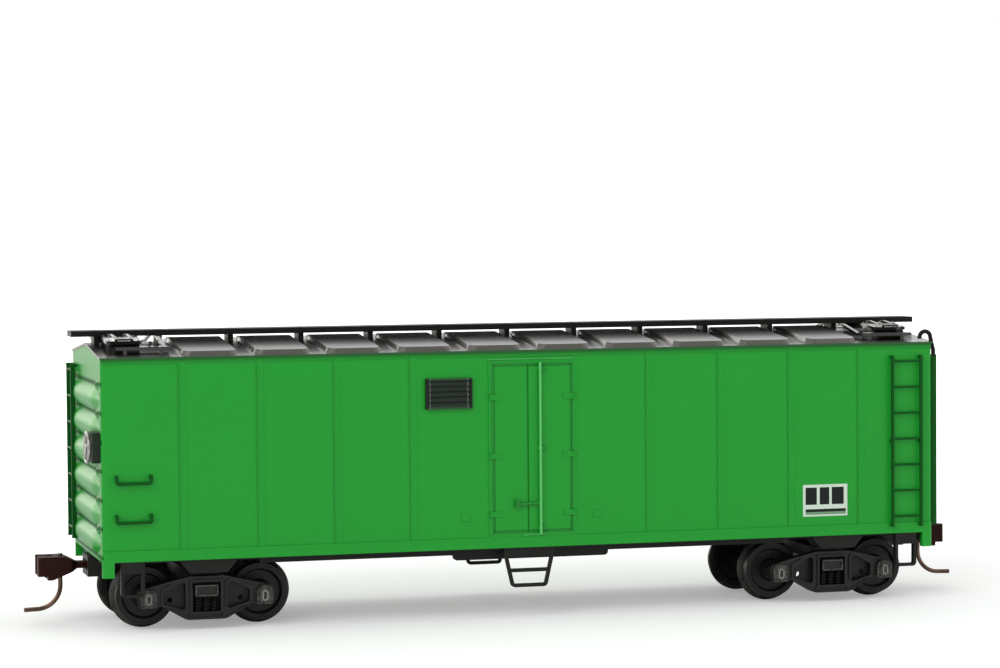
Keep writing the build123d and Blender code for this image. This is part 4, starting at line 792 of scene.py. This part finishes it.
def paint_nodes(colours):
    """Make the finishes and give them to the CAD nodes that share them."""
    body = tuple(colours.body_colour)
    roof = tuple(colours.roof_colour)
    under = tuple(colours.frame_colour)
    coupler = tuple(colours.coupler_colour)
    placard = tuple(colours.placard_colour)
    green = dict(grain=0.004, mottle=0.04, specular=0.3, coat=0.1, shade_and_wear=side_paint_and_shade, gloss_shade=groove_gloss_shade)
    louvre = dict(grain=0.004, specular=0.4, shade_and_wear=louvre_shades)
    # Name, colour, roughness, the rest of the finish, and its CAD nodes
    for name, colour, roughness, rest, nodes in (
        # Sides and ends: painted shade along the seams, doorway and rib feet and under the eave
        ("green_paint", body, colours.body_roughness, green, SIDE_NODES),
        # Lock: a painted highlight along its rod
        ("green_lock", times(body, 0.7), 0.3, dict(grain=0.004, shade_and_wear=lock_rod_highlight), LOCK_NODES),
        ("green_trim", srgb(8, 84, 22), 0.45, dict(grain=0.004, specular=0.15), SIDE_TRIM_NODES),
        # Roof: painted shade toward the ridge and a painted sheen in a dusty tone toward the eave
        ("roof_black", roof, 0.24, dict(grain=0.0004, coat=0.45, shade_and_wear=roof_shade_and_sheen), ["roof"]),
        ("hatch_black", times(roof, 0.4), 0.1, dict(grain=0.0003, coat=1.0), HATCH_NODES),
        ("board_black", times(roof, 0.5), 0.4, dict(grain=0.004, specular=0.2), BOARD_NODES),
        ("frame_black", under, 0.46, dict(grain=0.008, specular=0.3), FRAME_NODES),
        ("louvre_black", srgb(25, 38, 29), 0.45, louvre, LOUVRE_NODES),
        # Trucks: painted shade in the openings and a painted highlight on the parts that stand out
        ("truck_black", under, 0.42, dict(mottle=0.15, shade_and_wear=truck_shade_and_highlight), TRUCK_NODES),
        ("coupler_brown", coupler, 0.5, dict(grain=0.02, mottle=0.3, specular=0.1), COUPLER_NODES),
        # Rails: a lighter green as a painted highlight
        ("green_rail_highlight", srgb(52, 176, 70), 0.3, dict(grain=0.004), []),
        ("green_gasket", times(body, 0.8), 0.5, dict(grain=0.004), []),
        ("placard_white", placard, 0.4, dict(mottle=0.03, specular=0.3), []),
        ("placard_black", srgb(20, 26, 23), 0.4, dict(mottle=0.1, specular=0.3), []),
        ("placard_grey", srgb(120, 160, 126), 0.4, dict(mottle=0.08, specular=0.3), []),
        # Lid beads: pale grey as a painted highlight
        ("lid_highlight_grey", srgb(150, 152, 144), 0.3, dict(grain=0.004, mottle=0.3), []),
    ):
        dress(nodes, moulded(name, colour, roughness, **rest))


def paint_wheels(colours):
    """Give each wheelset its own finish, with a lighter band on the tread round its own axle, worn and
    painted as a highlight.
    """
    black = times(tuple(colours.frame_colour), 0.8)
    for wheelset in WHEELSETS:
        low, high = corners_of("wheels_" + wheelset)
        middle = (low + high) / 2
        tread_wear_and_highlight = wheel_wear_and_highlight(middle[0], middle[2])
        finish = moulded("wheel_black_" + wheelset, black, 0.42, specular=0.4, shade_and_wear=tread_wear_and_highlight)
        dress(["wheels_" + wheelset, "axle_" + wheelset], finish)


def bare_metals():
    """Give the trip pins, screws, brake wheel and weight their metals."""
    # The bronze's pale top is a painted highlight
    bronze = turned_metal("bronze_wire", srgb(116, 94, 80), 0.32, shade_and_wear=pin_tip_highlight)
    dress(PIN_NODES, bronze)
    dress(STEEL_NODES, turned_metal("bright_steel", srgb(190, 188, 184), 0.3))


def placards(length, height):
    """A white plate on each side, with plain dark and grey fields set on it."""
    low = SILL_BOTTOM + PLACARD_RISE
    centre = (PLACARD_LEFT + length / 2, -SHEET - PLATE / 2, low + height / 2)
    white = slab(centre, (length / 2, height / 2, PLATE), 0.03 * MM)
    cells = {"placard_black": [], "placard_grey": []}
    for start, end, bottom, top, finish in PLACARD_FIELDS:
        along = PLACARD_LEFT + length * (start + end) / 2
        middle = (along, -SHEET - PLATE * 1.2, low + height * (bottom + top) / 2)
        half = (length * (end - start) / 2, height * (top - bottom) / 2, PLATE * 0.6)
        cells[finish].append(slab(middle, half, 0.015 * MM))
    for name, finish, parts in (
        ("placard_plates", "placard_white", [white]),
        ("placard_fields", "placard_black", cells["placard_black"]),
        ("placard_strips", "placard_grey", cells["placard_grey"]),
    ):
        fitting(name, "car_body", finish, both_sides(parts), smooth=False)


def tack_boards():
    """Small blank boards on both sides."""
    boards = [
        slab((x * MM, -SHEET - PLATE, SILL_BOTTOM + rise * MM), TACK_BOARD_HALF, 0.03 * MM)
        for x, rise in TACK_BOARDS
    ]
    fitting("tack_boards", "car_body", "green_paint", both_sides(boards), smooth=False)


def side_rivets(sizes):
    """Rows of rivets up the seams and along the sills of both sides."""
    pitch = sizes.rivet_pitch
    head = rivet(sizes.rivet_diameter, sizes.rivet_height, NEAR)
    seams = (FIRST_SEAM + SEAM_PITCH * np.arange(SEAM_COUNT)) * MM
    seams = np.concatenate([-seams[::-1], seams])
    low = SILL_BOTTOM + SILL_BAND * MM + pitch
    high = SIDE_TOP - TOP_BAND * MM - pitch
    seam_places = points_at(seams, -SHEET - SEAM_PROUD * MM, np.arange(low, high, pitch))
    reach = HALF_LENGTH - 1.6 * MM
    along = np.linspace(-reach, reach, int(2 * reach / pitch))
    sill_row = SILL_BOTTOM + 1.35 * MM
    sill_places = points_at(along, -HALF_WIDTH, sill_row)
    rows = [copies(head, seam_places), copies(head, sill_places)]
    fitting("side_rivets", "car_body", "green_paint", both_sides(rows))


def end_rivets(sizes):
    """A row of rivets along the foot of each end."""
    head = rivet(sizes.rivet_diameter, sizes.rivet_height, PLAIN_END)
    left, right = -HALF_WIDTH + 1.2 * MM, HALF_WIDTH - 1.0 * MM
    foot_row = SILL_BOTTOM + 0.3 * MM
    across = np.arange(left, right, sizes.rivet_pitch)
    row = copies(head, points_at(HALF_LENGTH, across, foot_row))
    fitting("end_rivets", "car_body", "green_paint", [row, scaled(row, -1, 1)])


def roof_height(out):
    """Height of the roof sheet at a distance from the middle: it falls evenly from the ridge."""
    return SIDE_TOP + ROOF_SHEET + RIDGE_RISE * (1 - out / SHEET)


def roof_rivets(sizes):
    """Rivets down both edges of each strip between the roof's panels."""
    head = rivet(sizes.rivet_diameter, sizes.rivet_height, ROOF_UP)
    beside_board = 3.4 * MM
    near_eave = SHEET + ROOF_OVERHANG - 0.8 * MM
    half_strip = 0.75 * MM
    from_middle = np.arange(beside_board, near_eave, sizes.rivet_pitch * 1.1)
    rows = []
    for beside in (-half_strip, half_strip):
        places = points_at(ROOF_STRIPS + beside, -from_middle, 0)
        places[:, 2] = roof_height(np.abs(places[:, 1]))
        rows.append(copies(head, places))
    fitting("roof_rivets", "car_body", "roof_black", both_sides(rows))


def board_bolts():
    """Bolts through the running board's planks into each saddle."""
    saddles = np.concatenate([ROOF_STRIPS, [-END_SADDLE, END_SADDLE]])
    planks = np.array([-1.667, 0.0, 1.667]) * MM
    half_pair = 0.22 * MM
    bolt = rivet(0.36 * MM, 0.04 * MM, UP)
    bolts = [
        copies(bolt, points_at(saddles + beside, planks, BOARD_TOP))
        for beside in (-half_pair, half_pair)
    ]
    fitting("board_bolts", "car_body", "board_black", bolts)


def hatch_fittings():
    """Lid bolts, hinge barrels and lifting bar of each ice hatch, set out on its sloping lid:
    along the car, up the slope from the lid's middle, and out of the roof."""
    low, high = corners_of("ice_hatch_near_plus")
    out = 6.95 * MM
    corner = np.array([(low[0] + high[0]) / 2, -out, roof_height(out)])
    axes = np.array([(1, 0, 0), (0, math.cos(ROOF_SLOPE), math.sin(ROOF_SLOPE)), ROOF_UP])

    def on_lid(points):
        """Places on the lid as places on the car: the lid's middle plus each place's three
        distances along the lid's own directions."""
        return np.asarray(points, float) @ axes + corner

    top = 1.65 * MM
    half_long = 3.35 * MM
    hinge_x = 1.3 * MM
    bolt_x, bolt_y = 2.45 * MM, 2.8 * MM
    bolt_places = [(x * bolt_x, y * bolt_y, top) for x in (-1, 1) for y in (-1, 1)]
    parts = [copies(rivet(0.34 * MM, 0.09 * MM, ROOF_UP), on_lid(bolt_places))]
    half_barrel = 0.5 * MM
    barrel_diameter = 0.5 * MM
    for x in (-hinge_x, hinge_x):
        ends = on_lid([(x - half_barrel, half_long, top), (x + half_barrel, half_long, top)])
        parts.append(tube(np.linspace(ends[0], ends[1], 3), barrel_diameter))
    bar_diameter = 0.36 * MM
    bar_bend = 0.5 * MM
    inner = (2.2 * MM - half_long, top + 0.5 * MM)
    outer = (-half_long - 0.45 * MM, top + 0.3 * MM)
    corners = [(-hinge_x, *inner), (-hinge_x, *outer), (hinge_x, *outer), (hinge_x, *inner)]
    parts.append(tube(on_lid(bent_path(corners, bar_bend)), bar_diameter))
    fitting("hatch_fittings", "car_body", "hatch_black", four_corners(parts))


def roof_corner_grab():
    """Grab iron from the plain end's ladder over the roof's near corner: a leg that leans in
    from the stile, half a circle of 1 mm radius, and a straight foot on the roof. It stands in
    for the CAD's plain loops."""
    _, ladder_high = corners_of("end_ladder_plain")
    low, high = corners_of("roof_grabs")
    diameter = 0.76 * MM
    radius = 1.0 * MM
    stile_x = high[0] - diameter / 2
    y = low[1] + diameter / 2
    middle_x = stile_x - 1.55 * MM
    bend_z = high[2] - diameter / 2 - radius
    t = np.linspace(0, math.pi, 13)
    arch = radius * np.stack([np.cos(t), np.zeros(13), np.sin(t)], axis=-1)
    arch += np.array([middle_x, y, bend_z])
    leg = np.array([
        (stile_x, y, ladder_high[2] - 0.4 * MM),
        (stile_x, y, ladder_high[2] + 0.7 * MM),
        (middle_x + radius + 0.25 * MM, y, bend_z - 1.1 * MM),
    ])
    foot = np.array([(middle_x - radius, y, SIDE_TOP + 0.8 * MM)])
    bar = tube(np.concatenate([leg, arch, foot]), diameter, 14)
    piece = fitting("roof_corner_grab", "car_body", "board_black", [bar])
    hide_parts("roof_grabs")


def hinge_bolts(bolt):
    """Bolts on the hinge straps and the heads of the hinge pins."""
    head = rivet(bolt * 0.85, 0.07 * MM, NEAR)
    strap_x = np.array([-6.6, -5.9, 5.9, 6.6]) * MM
    strap_face = -SHEET - 0.3 * MM
    heads = copies(head, points_at(strap_x, strap_face, HINGE_ROWS))
    pin = rivet(0.42 * MM, 0.14 * MM, UP)
    pin_x = np.array([-7.25, 7.25]) * MM
    pin_y = -SHEET - 0.325 * MM
    barrel_top = HINGE_ROWS + 0.45 * MM
    pins = copies(pin, points_at(pin_x, pin_y, barrel_top))
    fitting("hinge_bolts", "car_body", "green_paint", both_sides([heads, pins]))


def door_rails():
    """Header rail over the doorway and tread under it."""
    ease = 0.05 * MM
    header_place = (-0.2 * MM, -SHEET - 0.12 * MM, DOOR_HIGH + 0.9 * MM)
    header_half = (7.6 * MM, 0.14 * MM, 0.13 * MM)
    tread_place = (0.2 * MM, -SHEET - 0.15 * MM, DOOR_LOW - 0.5 * MM)
    tread_half = (1.9 * MM, 0.16 * MM, 0.15 * MM)
    header = slab(header_place, header_half, ease)
    tread = slab(tread_place, tread_half, ease)
    # The rails' lighter green is a painted highlight along the header and tread
    fitting("door_rails", "car_body", "green_rail_highlight", both_sides([header, tread]))


def door_gaskets():
    """Rubber gaskets that fill the gaps round the door's leaves and between them."""
    gap, meeting_gap, depth = 0.35 * MM, 0.2 * MM, 0.22 * MM
    ease = 0.04 * MM
    proud = 0.04 * MM
    y = -SHEET - proud + depth
    middle_z = (DOOR_LOW + DOOR_HIGH) / 2
    upright = (DOOR_HIGH - DOOR_LOW) / 2
    edge_x = DOOR_HALF_WIDTH * MM - gap / 2
    gaskets = [
        slab((x, y, middle_z), (half, upright, depth), ease)
        for x, half in ((-edge_x, gap / 2), (edge_x, gap / 2), (MEETING_EDGE * MM, meeting_gap / 2))
    ]
    gaskets += [
        slab((0, y, z), (edge_x, gap / 2, depth), ease)
        for z in (DOOR_LOW + gap / 2, DOOR_HIGH - gap / 2)
    ]
    fitting("door_gaskets", "car_body", "green_gasket", both_sides(gaskets))


def lock_fittings(bolt):
    """Bolts of the lock rod's keepers and the turned knob of the latch."""
    low, _ = corners_of("door_lock_near")
    keeper_rows = np.array([3.3, 16.7, 30.1]) * MM + SILL_BOTTOM
    keeper_x = 1.72 * MM
    keeper_face = low[1] + 0.25 * MM
    keeper = copies(rivet(bolt, 0.08 * MM, NEAR), points_at(keeper_x, keeper_face, keeper_rows))
    profile = [(0, 0), (0.2, 0), (0.17, 0.1), (0.3, 0.18), (0.27, 0.28), (0, 0.32)]
    knob_place = (low[0] + 0.35 * MM, low[1] + 0.2 * MM, SILL_BOTTOM + 7.4 * MM)
    knob = lathe(np.array(profile) * MM, NEAR, knob_place, 12)
    fitting("lock_fittings", "car_body", "green_lock", both_sides([keeper, knob]))


def ladder_bolts(bolt):
    """Three bolts up each ladder stile, and the flange of each end ladder's outer stile, which
    is an angle that reaches back to the sheet."""
    low, high = corners_of("side_ladder_near")
    half_stile = 0.225 * MM
    from_tip = 0.25 * MM
    rows = np.linspace(low[2] + from_tip, high[2] - from_tip, 3)
    stiles = np.array([low[0] + half_stile, high[0] - half_stile])
    side = copies(rivet(bolt, 0.05 * MM, NEAR), points_at(stiles, low[1], rows))
    low, high = corners_of("end_ladder_plain")
    stiles = np.array([low[1] + half_stile, high[1] - half_stile])
    end = copies(rivet(bolt, 0.09 * MM, PLAIN_END), points_at(high[0], stiles, rows))
    back = np.array([HALF_LENGTH - 0.05 * MM, low[1] + 0.06 * MM, low[2] + 0.04 * MM])
    front = np.array([high[0] - 0.2 * MM, low[1] + 0.3 * MM, high[2] - 0.04 * MM])
    flange = slab((back + front) / 2, (front - back)[[0, 2, 1]] / 2, 0.06 * MM)
    parts = both_sides([side, end, flange])
    fitting("ladder_bolts", "car_body", "green_trim", parts)


def truck_places(end):
    """A truck's middle along the car, the middles of its boxes, the face of its box lids and
    the height of its axles."""
    low, high = corners_of("truck_frame_" + end)
    axle_low, axle_high = corners_of("wheels_" + end + "_outer")
    centre_x = (low[0] + high[0]) / 2
    reach = 9.65 * MM
    boxes = np.array([centre_x - reach, centre_x + reach])
    return centre_x, boxes, low[1], (axle_low[2] + axle_high[2]) / 2


def truck_fitting(name, end, finish, parts):
    """Grids of a truck's near side, and again mirrored on its far side."""
    near = joined(parts)
    fitting(name + end, "truck_" + end, finish, [near, scaled(near, 1, -1)])


def lid_beads(end):
    """Raised bead on each box lid of a truck: an oval whose width and height swell as the
    0.8th power of cosine and sine."""
    _, boxes, lid_face, axle_z = truck_places(end)
    steps = 20
    half_wide, half_high = 0.42 * MM, 0.78 * MM
    bead_diameter = 0.2 * MM
    bead_y = lid_face + 0.06 * MM
    lid_middle = axle_z - 0.1 * MM
    t = np.linspace(0, 2 * math.pi, steps, endpoint=False)
    swell = [np.sign(wave) * np.abs(wave) ** 0.8 for wave in (np.cos(t), np.sin(t))]
    oval = np.stack([half_wide * swell[0], np.zeros(steps), half_high * swell[1]], axis=-1)
    ring = tube(oval, bead_diameter, 8, closed=True)
    beads = copies(ring, points_at(boxes, bead_y, lid_middle))
    # The beads' pale grey finish is a painted highlight on the lids' ridges
    truck_fitting("lid_beads_", end, "lid_highlight_grey", [beads])


def truck_bolts(end, bolt):
    """Bolts of a truck's boxes and of its lower chord."""
    centre_x, boxes, lid_face, axle_z = truck_places(end)
    box_face = lid_face + 0.35 * MM
    frame_face = box_face + 0.45 * MM
    box_x = (boxes[:, None] + np.array([-1.12, 1.12]) * MM).ravel()
    box_row = axle_z - 1.1 * MM
    box_bolt = rivet(bolt, 0.12 * MM, NEAR)
    chord_x = centre_x + np.array([-2.85, 2.85]) * MM
    chord_row = axle_z - 3.1 * MM
    chord_bolt = hex_bolt(bolt * 1.25, 0.16 * MM, NEAR)
    bolts = [
        copies(box_bolt, points_at(box_x, box_face, box_row)),
        copies(chord_bolt, points_at(chord_x, frame_face, chord_row)),
    ]
    truck_fitting("box_bolts_", end, "truck_black", bolts)


def lever_and_pins(rod_end, outer, inner, axis_z):
    """Brake lever as a thin plate across the car, and the heads of the pins at its two ends."""
    half_thick = 0.16 * MM
    past_pin = 0.5 * MM
    middle = (rod_end + 0.1 * MM, (outer + inner) / 2, axis_z)
    half = (0.5 * MM, (outer - inner) / 2 + past_pin, half_thick)
    lever = slab(middle, half, 0.06 * MM, along=(1, 0, 0), up=(0, 1, 0))
    pin_z = axis_z - half_thick
    pins = [(rod_end, outer, pin_z), (rod_end, inner, pin_z)]
    return lever, copies(hex_bolt(0.7 * MM, 0.3 * MM, DOWN), pins)


def level_rod(start, end, y, z, floor, diameter):
    """A rod that runs level, slants up a little near its end and turns up into the floor."""
    hand = math.copysign(1, end - start)
    corners = [
        (start, y, z),
        (end - hand * 2.0 * MM, y, z),
        (end, y, z + 0.5 * MM),
        (end, y, floor),
    ]
    return tube(bent_path(corners, 0.5 * MM), diameter)


def brake_rods(diameter):
    """Brake lever at the cylinder's rod, a rod from it toward each truck, the air pipe under
    the floor and the lever's two pins. The pipe turns up into the floor at both ends."""
    low, high = corners_of("brake_cylinder")
    axis_y = (low[1] + high[1]) / 2
    axis_z = low[2] + 1.1 * MM
    rod_end = low[0]
    lever_inner = 3.1 * MM
    reach = 36.0 * MM
    floor = FLOOR_BOTTOM + 0.2 * MM
    rod_z = axis_z - 0.1 * MM
    lever, pins = lever_and_pins(rod_end, axis_y, lever_inner, axis_z)
    rods = [
        level_rod(rod_end, end, y, rod_z, floor, diameter)
        for end, y in ((-reach, lever_inner), (reach, lever_inner + 0.9 * MM))
    ]
    pipe_y = -4.2 * MM
    corners = [(-reach, pipe_y, floor), (-reach, pipe_y, axis_z)]
    corners += [(-x, y, z) for x, y, z in reversed(corners)]
    pipe = tube(bent_path(corners, 1.0 * MM), diameter * 1.3)
    parts = [lever, *rods, pipe, pins]
    fitting("brake_rods", "car_body", "frame_black", parts)


def pocket_screws():
    """Round-headed screw under each coupler pocket, with a hollow in its head."""
    low, _ = corners_of("coupler_box_plus")
    profile = [(0, 0), (0.9, 0), (0.9, 0.18), (0.6, 0.34), (0.2, 0.36), (0.2, 0.2), (0, 0.2)]
    place = (HALF_LENGTH - 6.25 * MM, 0, low[2])
    screw = lathe(np.array(profile) * MM, DOWN, place, 20)
    fitting("pocket_screws", "car_body", "bright_steel", [screw, scaled(screw, -1, 1)])


# Stage


def studio_world(strength):
    """A white studio: even light, a white backdrop, and reflections of a room that is dim
    behind the camera and white elsewhere."""
    world = bpy.data.worlds.new("studio")
    bpy.context.scene.world = world
    world.use_nodes = True
    tree = world.node_tree
    tree.nodes.clear()
    path = node(tree, "ShaderNodeLightPath")
    toward = node(tree, "ShaderNodeTexCoord").outputs["Generated"]
    toward = node(tree, "ShaderNodeSeparateXYZ", {"Vector": toward}).outputs["Y"]
    room_strength = ramp(tree, toward, -0.85, -0.1, 0.25, 1.0)
    room, lighting, backdrop = (
        node(tree, "ShaderNodeBackground", {"Color": (1, 1, 1, 1), "Strength": level}).outputs[0]
        for level in (room_strength, strength, 1.0)
    )
    seen = maths(tree, "MAXIMUM", path.outputs["Is Camera Ray"], path.outputs["Is Transmission Ray"])
    lit = {0: path.outputs["Is Glossy Ray"], 1: lighting, 2: room}
    lit = node(tree, "ShaderNodeMixShader", lit).outputs[0]
    shown = node(tree, "ShaderNodeMixShader", {0: seen, 1: lit, 2: backdrop}).outputs[0]
    node(tree, "ShaderNodeOutputWorld", {"Surface": shown})


def paper_finish():
    """Pale paper that keeps the shadow and glows toward white away from the car, as the
    camera sees it. The distance from the middle counts less along the car."""
    material = bpy.data.materials.new("pale_floor")
    material.use_nodes = True
    tree = material.node_tree
    tree.nodes.clear()
    place = node(tree, "ShaderNodeTexCoord").outputs["Object"]
    squeezed = node(tree, "ShaderNodeVectorMath", {0: place, 1: (0.55, 1.0, 1.0)}, operation="MULTIPLY")
    away = node(tree, "ShaderNodeVectorMath", {0: squeezed.outputs[0]}, operation="LENGTH")
    glow_strength = ramp(tree, away.outputs["Value"], 0.05, 0.28, 0.3, 0.9)
    glow = node(tree, "ShaderNodeEmission", {"Color": (1, 1, 1, 1), "Strength": glow_strength}).outputs[0]
    paper = node(tree, "ShaderNodeBsdfDiffuse", {"Color": (0.86, 0.86, 0.86, 1)}).outputs[0]
    both = node(tree, "ShaderNodeAddShader", {0: paper, 1: glow}).outputs[0]
    seen = node(tree, "ShaderNodeLightPath").outputs["Is Camera Ray"]
    shown = node(tree, "ShaderNodeMixShader", {0: seen, 1: paper, 2: both}).outputs[0]
    node(tree, "ShaderNodeOutputMaterial", {"Surface": shown})
    return material


def paper_floor():
    """A flat sheet 12 m wide under the wheels, facing up."""
    half_wide = 6.0
    side = np.array([-half_wide, half_wide])
    floor = mesh_object("floor", points_at(side, side, 0), grid_faces(2, 2), smooth=False)
    if floor.data.polygons[0].normal.z < 0:
        floor.data.flip_normals()
    floor.data.materials.append(paper_finish())


def place_lamps(stage):
    """Square lamps that face the car's middle: name, power, place, width and colour."""
    centre = Vector((0, 0, 0.02))
    white = (1.0, 1.0, 1.0)
    for name, power, place, width, colour in (
        ("key_light", stage.key_power, (-0.75, -0.75, 0.75), 0.8, white),
        ("fill_light", stage.fill_power, (0.9, -0.8, 0.5), 0.8, white),
        ("top_light", stage.fill_power, (0.1, 0.3, 1.1), 0.9, white),
        ("rim_light", stage.rim_power, (-0.6, 1.1, 0.3), 0.8, (1.0, 0.94, 0.82)),
    ):
        lamp = bpy.data.lights.new(name, "AREA")
        lamp.energy = power
        lamp.size = width
        lamp.color = colour
        piece = bpy.data.objects.new(name, lamp)
        bpy.context.scene.collection.objects.link(piece)
        aim = (centre - Vector(place)).to_track_quat("-Z", "Y").to_matrix().to_4x4()
        piece.matrix_world = Matrix.Translation(Vector(place)) @ aim


def place_camera(stage):
    """The camera at the photo's angle: its forward direction comes from yaw and pitch, and its
    right and up directions are then rolled about it."""
    yaw, pitch, roll = stage.camera_yaw, stage.camera_pitch, stage.camera_roll
    ahead = math.cos(pitch)
    forward = Vector((math.sin(yaw) * ahead, math.cos(yaw) * ahead, -math.sin(pitch)))
    right = Vector((math.cos(yaw), -math.sin(yaw), 0))
    up = right.cross(forward)
    rolled_right = right * math.cos(roll) + up * math.sin(roll)
    rolled_up = up * math.cos(roll) - right * math.sin(roll)
    turn = Matrix((rolled_right, rolled_up, -forward)).transposed().to_4x4()
    camera = bpy.data.cameras.new("camera")
    camera.sensor_width = 36.0
    camera.lens = stage.focal_pixels * camera.sensor_width / PICTURE_WIDTH
    camera.clip_start = 0.01
    piece = bpy.data.objects.new("camera", camera)
    bpy.context.scene.collection.objects.link(piece)
    piece.matrix_world = Matrix.Translation(Vector(stage.camera_place)) @ turn
    bpy.context.scene.camera = piece


class REEFER_OT_finishes(bpy.types.Operator):
    """Make the finishes and give them to the CAD nodes"""

    bl_idname = "reefer.finishes"
    bl_label = "Finishes"

    def execute(self, context):
        colours = context.scene.reefer_finish
        paint_nodes(colours)
        paint_wheels(colours)
        bare_metals()
        return {"FINISHED"}


class REEFER_OT_placards(bpy.types.Operator):
    """Blank placards and small tack boards on both sides"""

    bl_idname = "reefer.placards"
    bl_label = "Placards"

    def execute(self, context):
        sizes = context.scene.reefer_fittings
        placards(sizes.placard_length, sizes.placard_height)
        tack_boards()
        return {"FINISHED"}


class REEFER_OT_rivets(bpy.types.Operator):
    """Fine rivets along the seams and sills of the sides and the feet of the ends"""

    bl_idname = "reefer.rivets"
    bl_label = "Rivets"

    def execute(self, context):
        side_rivets(context.scene.reefer_fittings)
        end_rivets(context.scene.reefer_fittings)
        return {"FINISHED"}


class REEFER_OT_roof_fittings(bpy.types.Operator):
    """Roof strip rivets, running board bolts, and the hatches' hinges, bars and bolts"""

    bl_idname = "reefer.roof_fittings"
    bl_label = "Roof Fittings"

    def execute(self, context):
        roof_rivets(context.scene.reefer_fittings)
        board_bolts()
        hatch_fittings()
        return {"FINISHED"}


class REEFER_OT_roof_grab(bpy.types.Operator):
    """Grab iron that runs on from the plain end's ladder over the roof's near corner"""

    bl_idname = "reefer.roof_grab"
    bl_label = "Roof Grab Iron"

    def execute(self, context):
        roof_corner_grab()
        return {"FINISHED"}


class REEFER_OT_door_fittings(bpy.types.Operator):
    """Hinge pins and bolts, header rail, tread, gaskets, keeper bolts and latch knob of the doors"""

    bl_idname = "reefer.door_fittings"
    bl_label = "Door Fittings"

    def execute(self, context):
        bolt = context.scene.reefer_fittings.bolt_diameter
        hinge_bolts(bolt)
        door_rails()
        door_gaskets()
        lock_fittings(bolt)
        return {"FINISHED"}


class REEFER_OT_ladder_bolts(bpy.types.Operator):
    """Bolts up the ladders' stiles and the flanges of the end ladders' outer stiles"""

    bl_idname = "reefer.ladder_bolts"
    bl_label = "Ladder Bolts"

    def execute(self, context):
        ladder_bolts(context.scene.reefer_fittings.bolt_diameter)
        return {"FINISHED"}


class REEFER_OT_truck_fittings(bpy.types.Operator):
    """Lid beads, box bolts and chord bolts of the trucks"""

    bl_idname = "reefer.truck_fittings"
    bl_label = "Truck Fittings"

    def execute(self, context):
        for end in ENDS:
            lid_beads(end)
            truck_bolts(end, context.scene.reefer_fittings.bolt_diameter)
        return {"FINISHED"}


class REEFER_OT_brake_rods(bpy.types.Operator):
    """Brake lever, rods and air pipe under the floor, and the coupler pockets' screws"""

    bl_idname = "reefer.brake_rods"
    bl_label = "Brake Rods"

    def execute(self, context):
        brake_rods(context.scene.reefer_fittings.brake_rod_diameter)
        pocket_screws()
        return {"FINISHED"}


class REEFER_OT_stage(bpy.types.Operator):
    """Pale floor, soft light and the camera"""

    bl_idname = "reefer.stage"
    bl_label = "Stage"

    def execute(self, context):
        stage = context.scene.reefer_stage
        context.scene.view_settings.view_transform = "Standard"
        studio_world(stage.world_strength)
        paper_floor()
        place_lamps(stage)
        place_camera(stage)
        return {"FINISHED"}


OPERATORS = (
    REEFER_OT_finishes,
    REEFER_OT_placards,
    REEFER_OT_rivets,
    REEFER_OT_roof_fittings,
    REEFER_OT_roof_grab,
    REEFER_OT_door_fittings,
    REEFER_OT_ladder_bolts,
    REEFER_OT_truck_fittings,
    REEFER_OT_brake_rods,
    REEFER_OT_stage,
)


class REEFER_PT_panel(bpy.types.Panel):
    """Steps and settings of the refrigerator car"""

    bl_idname = "REEFER_PT_panel"
    bl_label = "Refrigerator Car"
    bl_space_type = "VIEW_3D"
    bl_region_type = "UI"
    bl_category = "Reefer"

    def draw(self, context):
        layout = self.layout
        for operator in OPERATORS:
            layout.operator(operator.bl_idname)
        scene = context.scene
        for group in (scene.reefer_finish, scene.reefer_fittings, scene.reefer_stage):
            box = layout.box()
            for name in group.bl_rna.properties.keys():
                if name not in ("rna_type", "name"):
                    box.prop(group, name)


CLASSES = (ReeferFinish, ReeferFittings, ReeferStage) + OPERATORS + (REEFER_PT_panel,)


def register():
    """Register the classes and give the scene its settings."""
    for one in CLASSES:
        bpy.utils.register_class(one)
    bpy.types.Scene.reefer_finish = bpy.props.PointerProperty(type=ReeferFinish)
    bpy.types.Scene.reefer_fittings = bpy.props.PointerProperty(type=ReeferFittings)
    bpy.types.Scene.reefer_stage = bpy.props.PointerProperty(type=ReeferStage)


def unregister():
    """Take the settings and the classes out again."""
    del bpy.types.Scene.reefer_stage
    del bpy.types.Scene.reefer_fittings
    del bpy.types.Scene.reefer_finish
    for one in reversed(CLASSES):
        bpy.utils.unregister_class(one)


def main():
    """Run every step in order."""
    register()
    bpy.ops.reefer.finishes()
    bpy.ops.reefer.placards()
    bpy.ops.reefer.rivets()
    bpy.ops.reefer.roof_fittings()
    bpy.ops.reefer.roof_grab()
    bpy.ops.reefer.door_fittings()
    bpy.ops.reefer.ladder_bolts()
    bpy.ops.reefer.truck_fittings()
    bpy.ops.reefer.brake_rods()
    bpy.ops.reefer.stage()


if __name__ == "__main__":
    main()
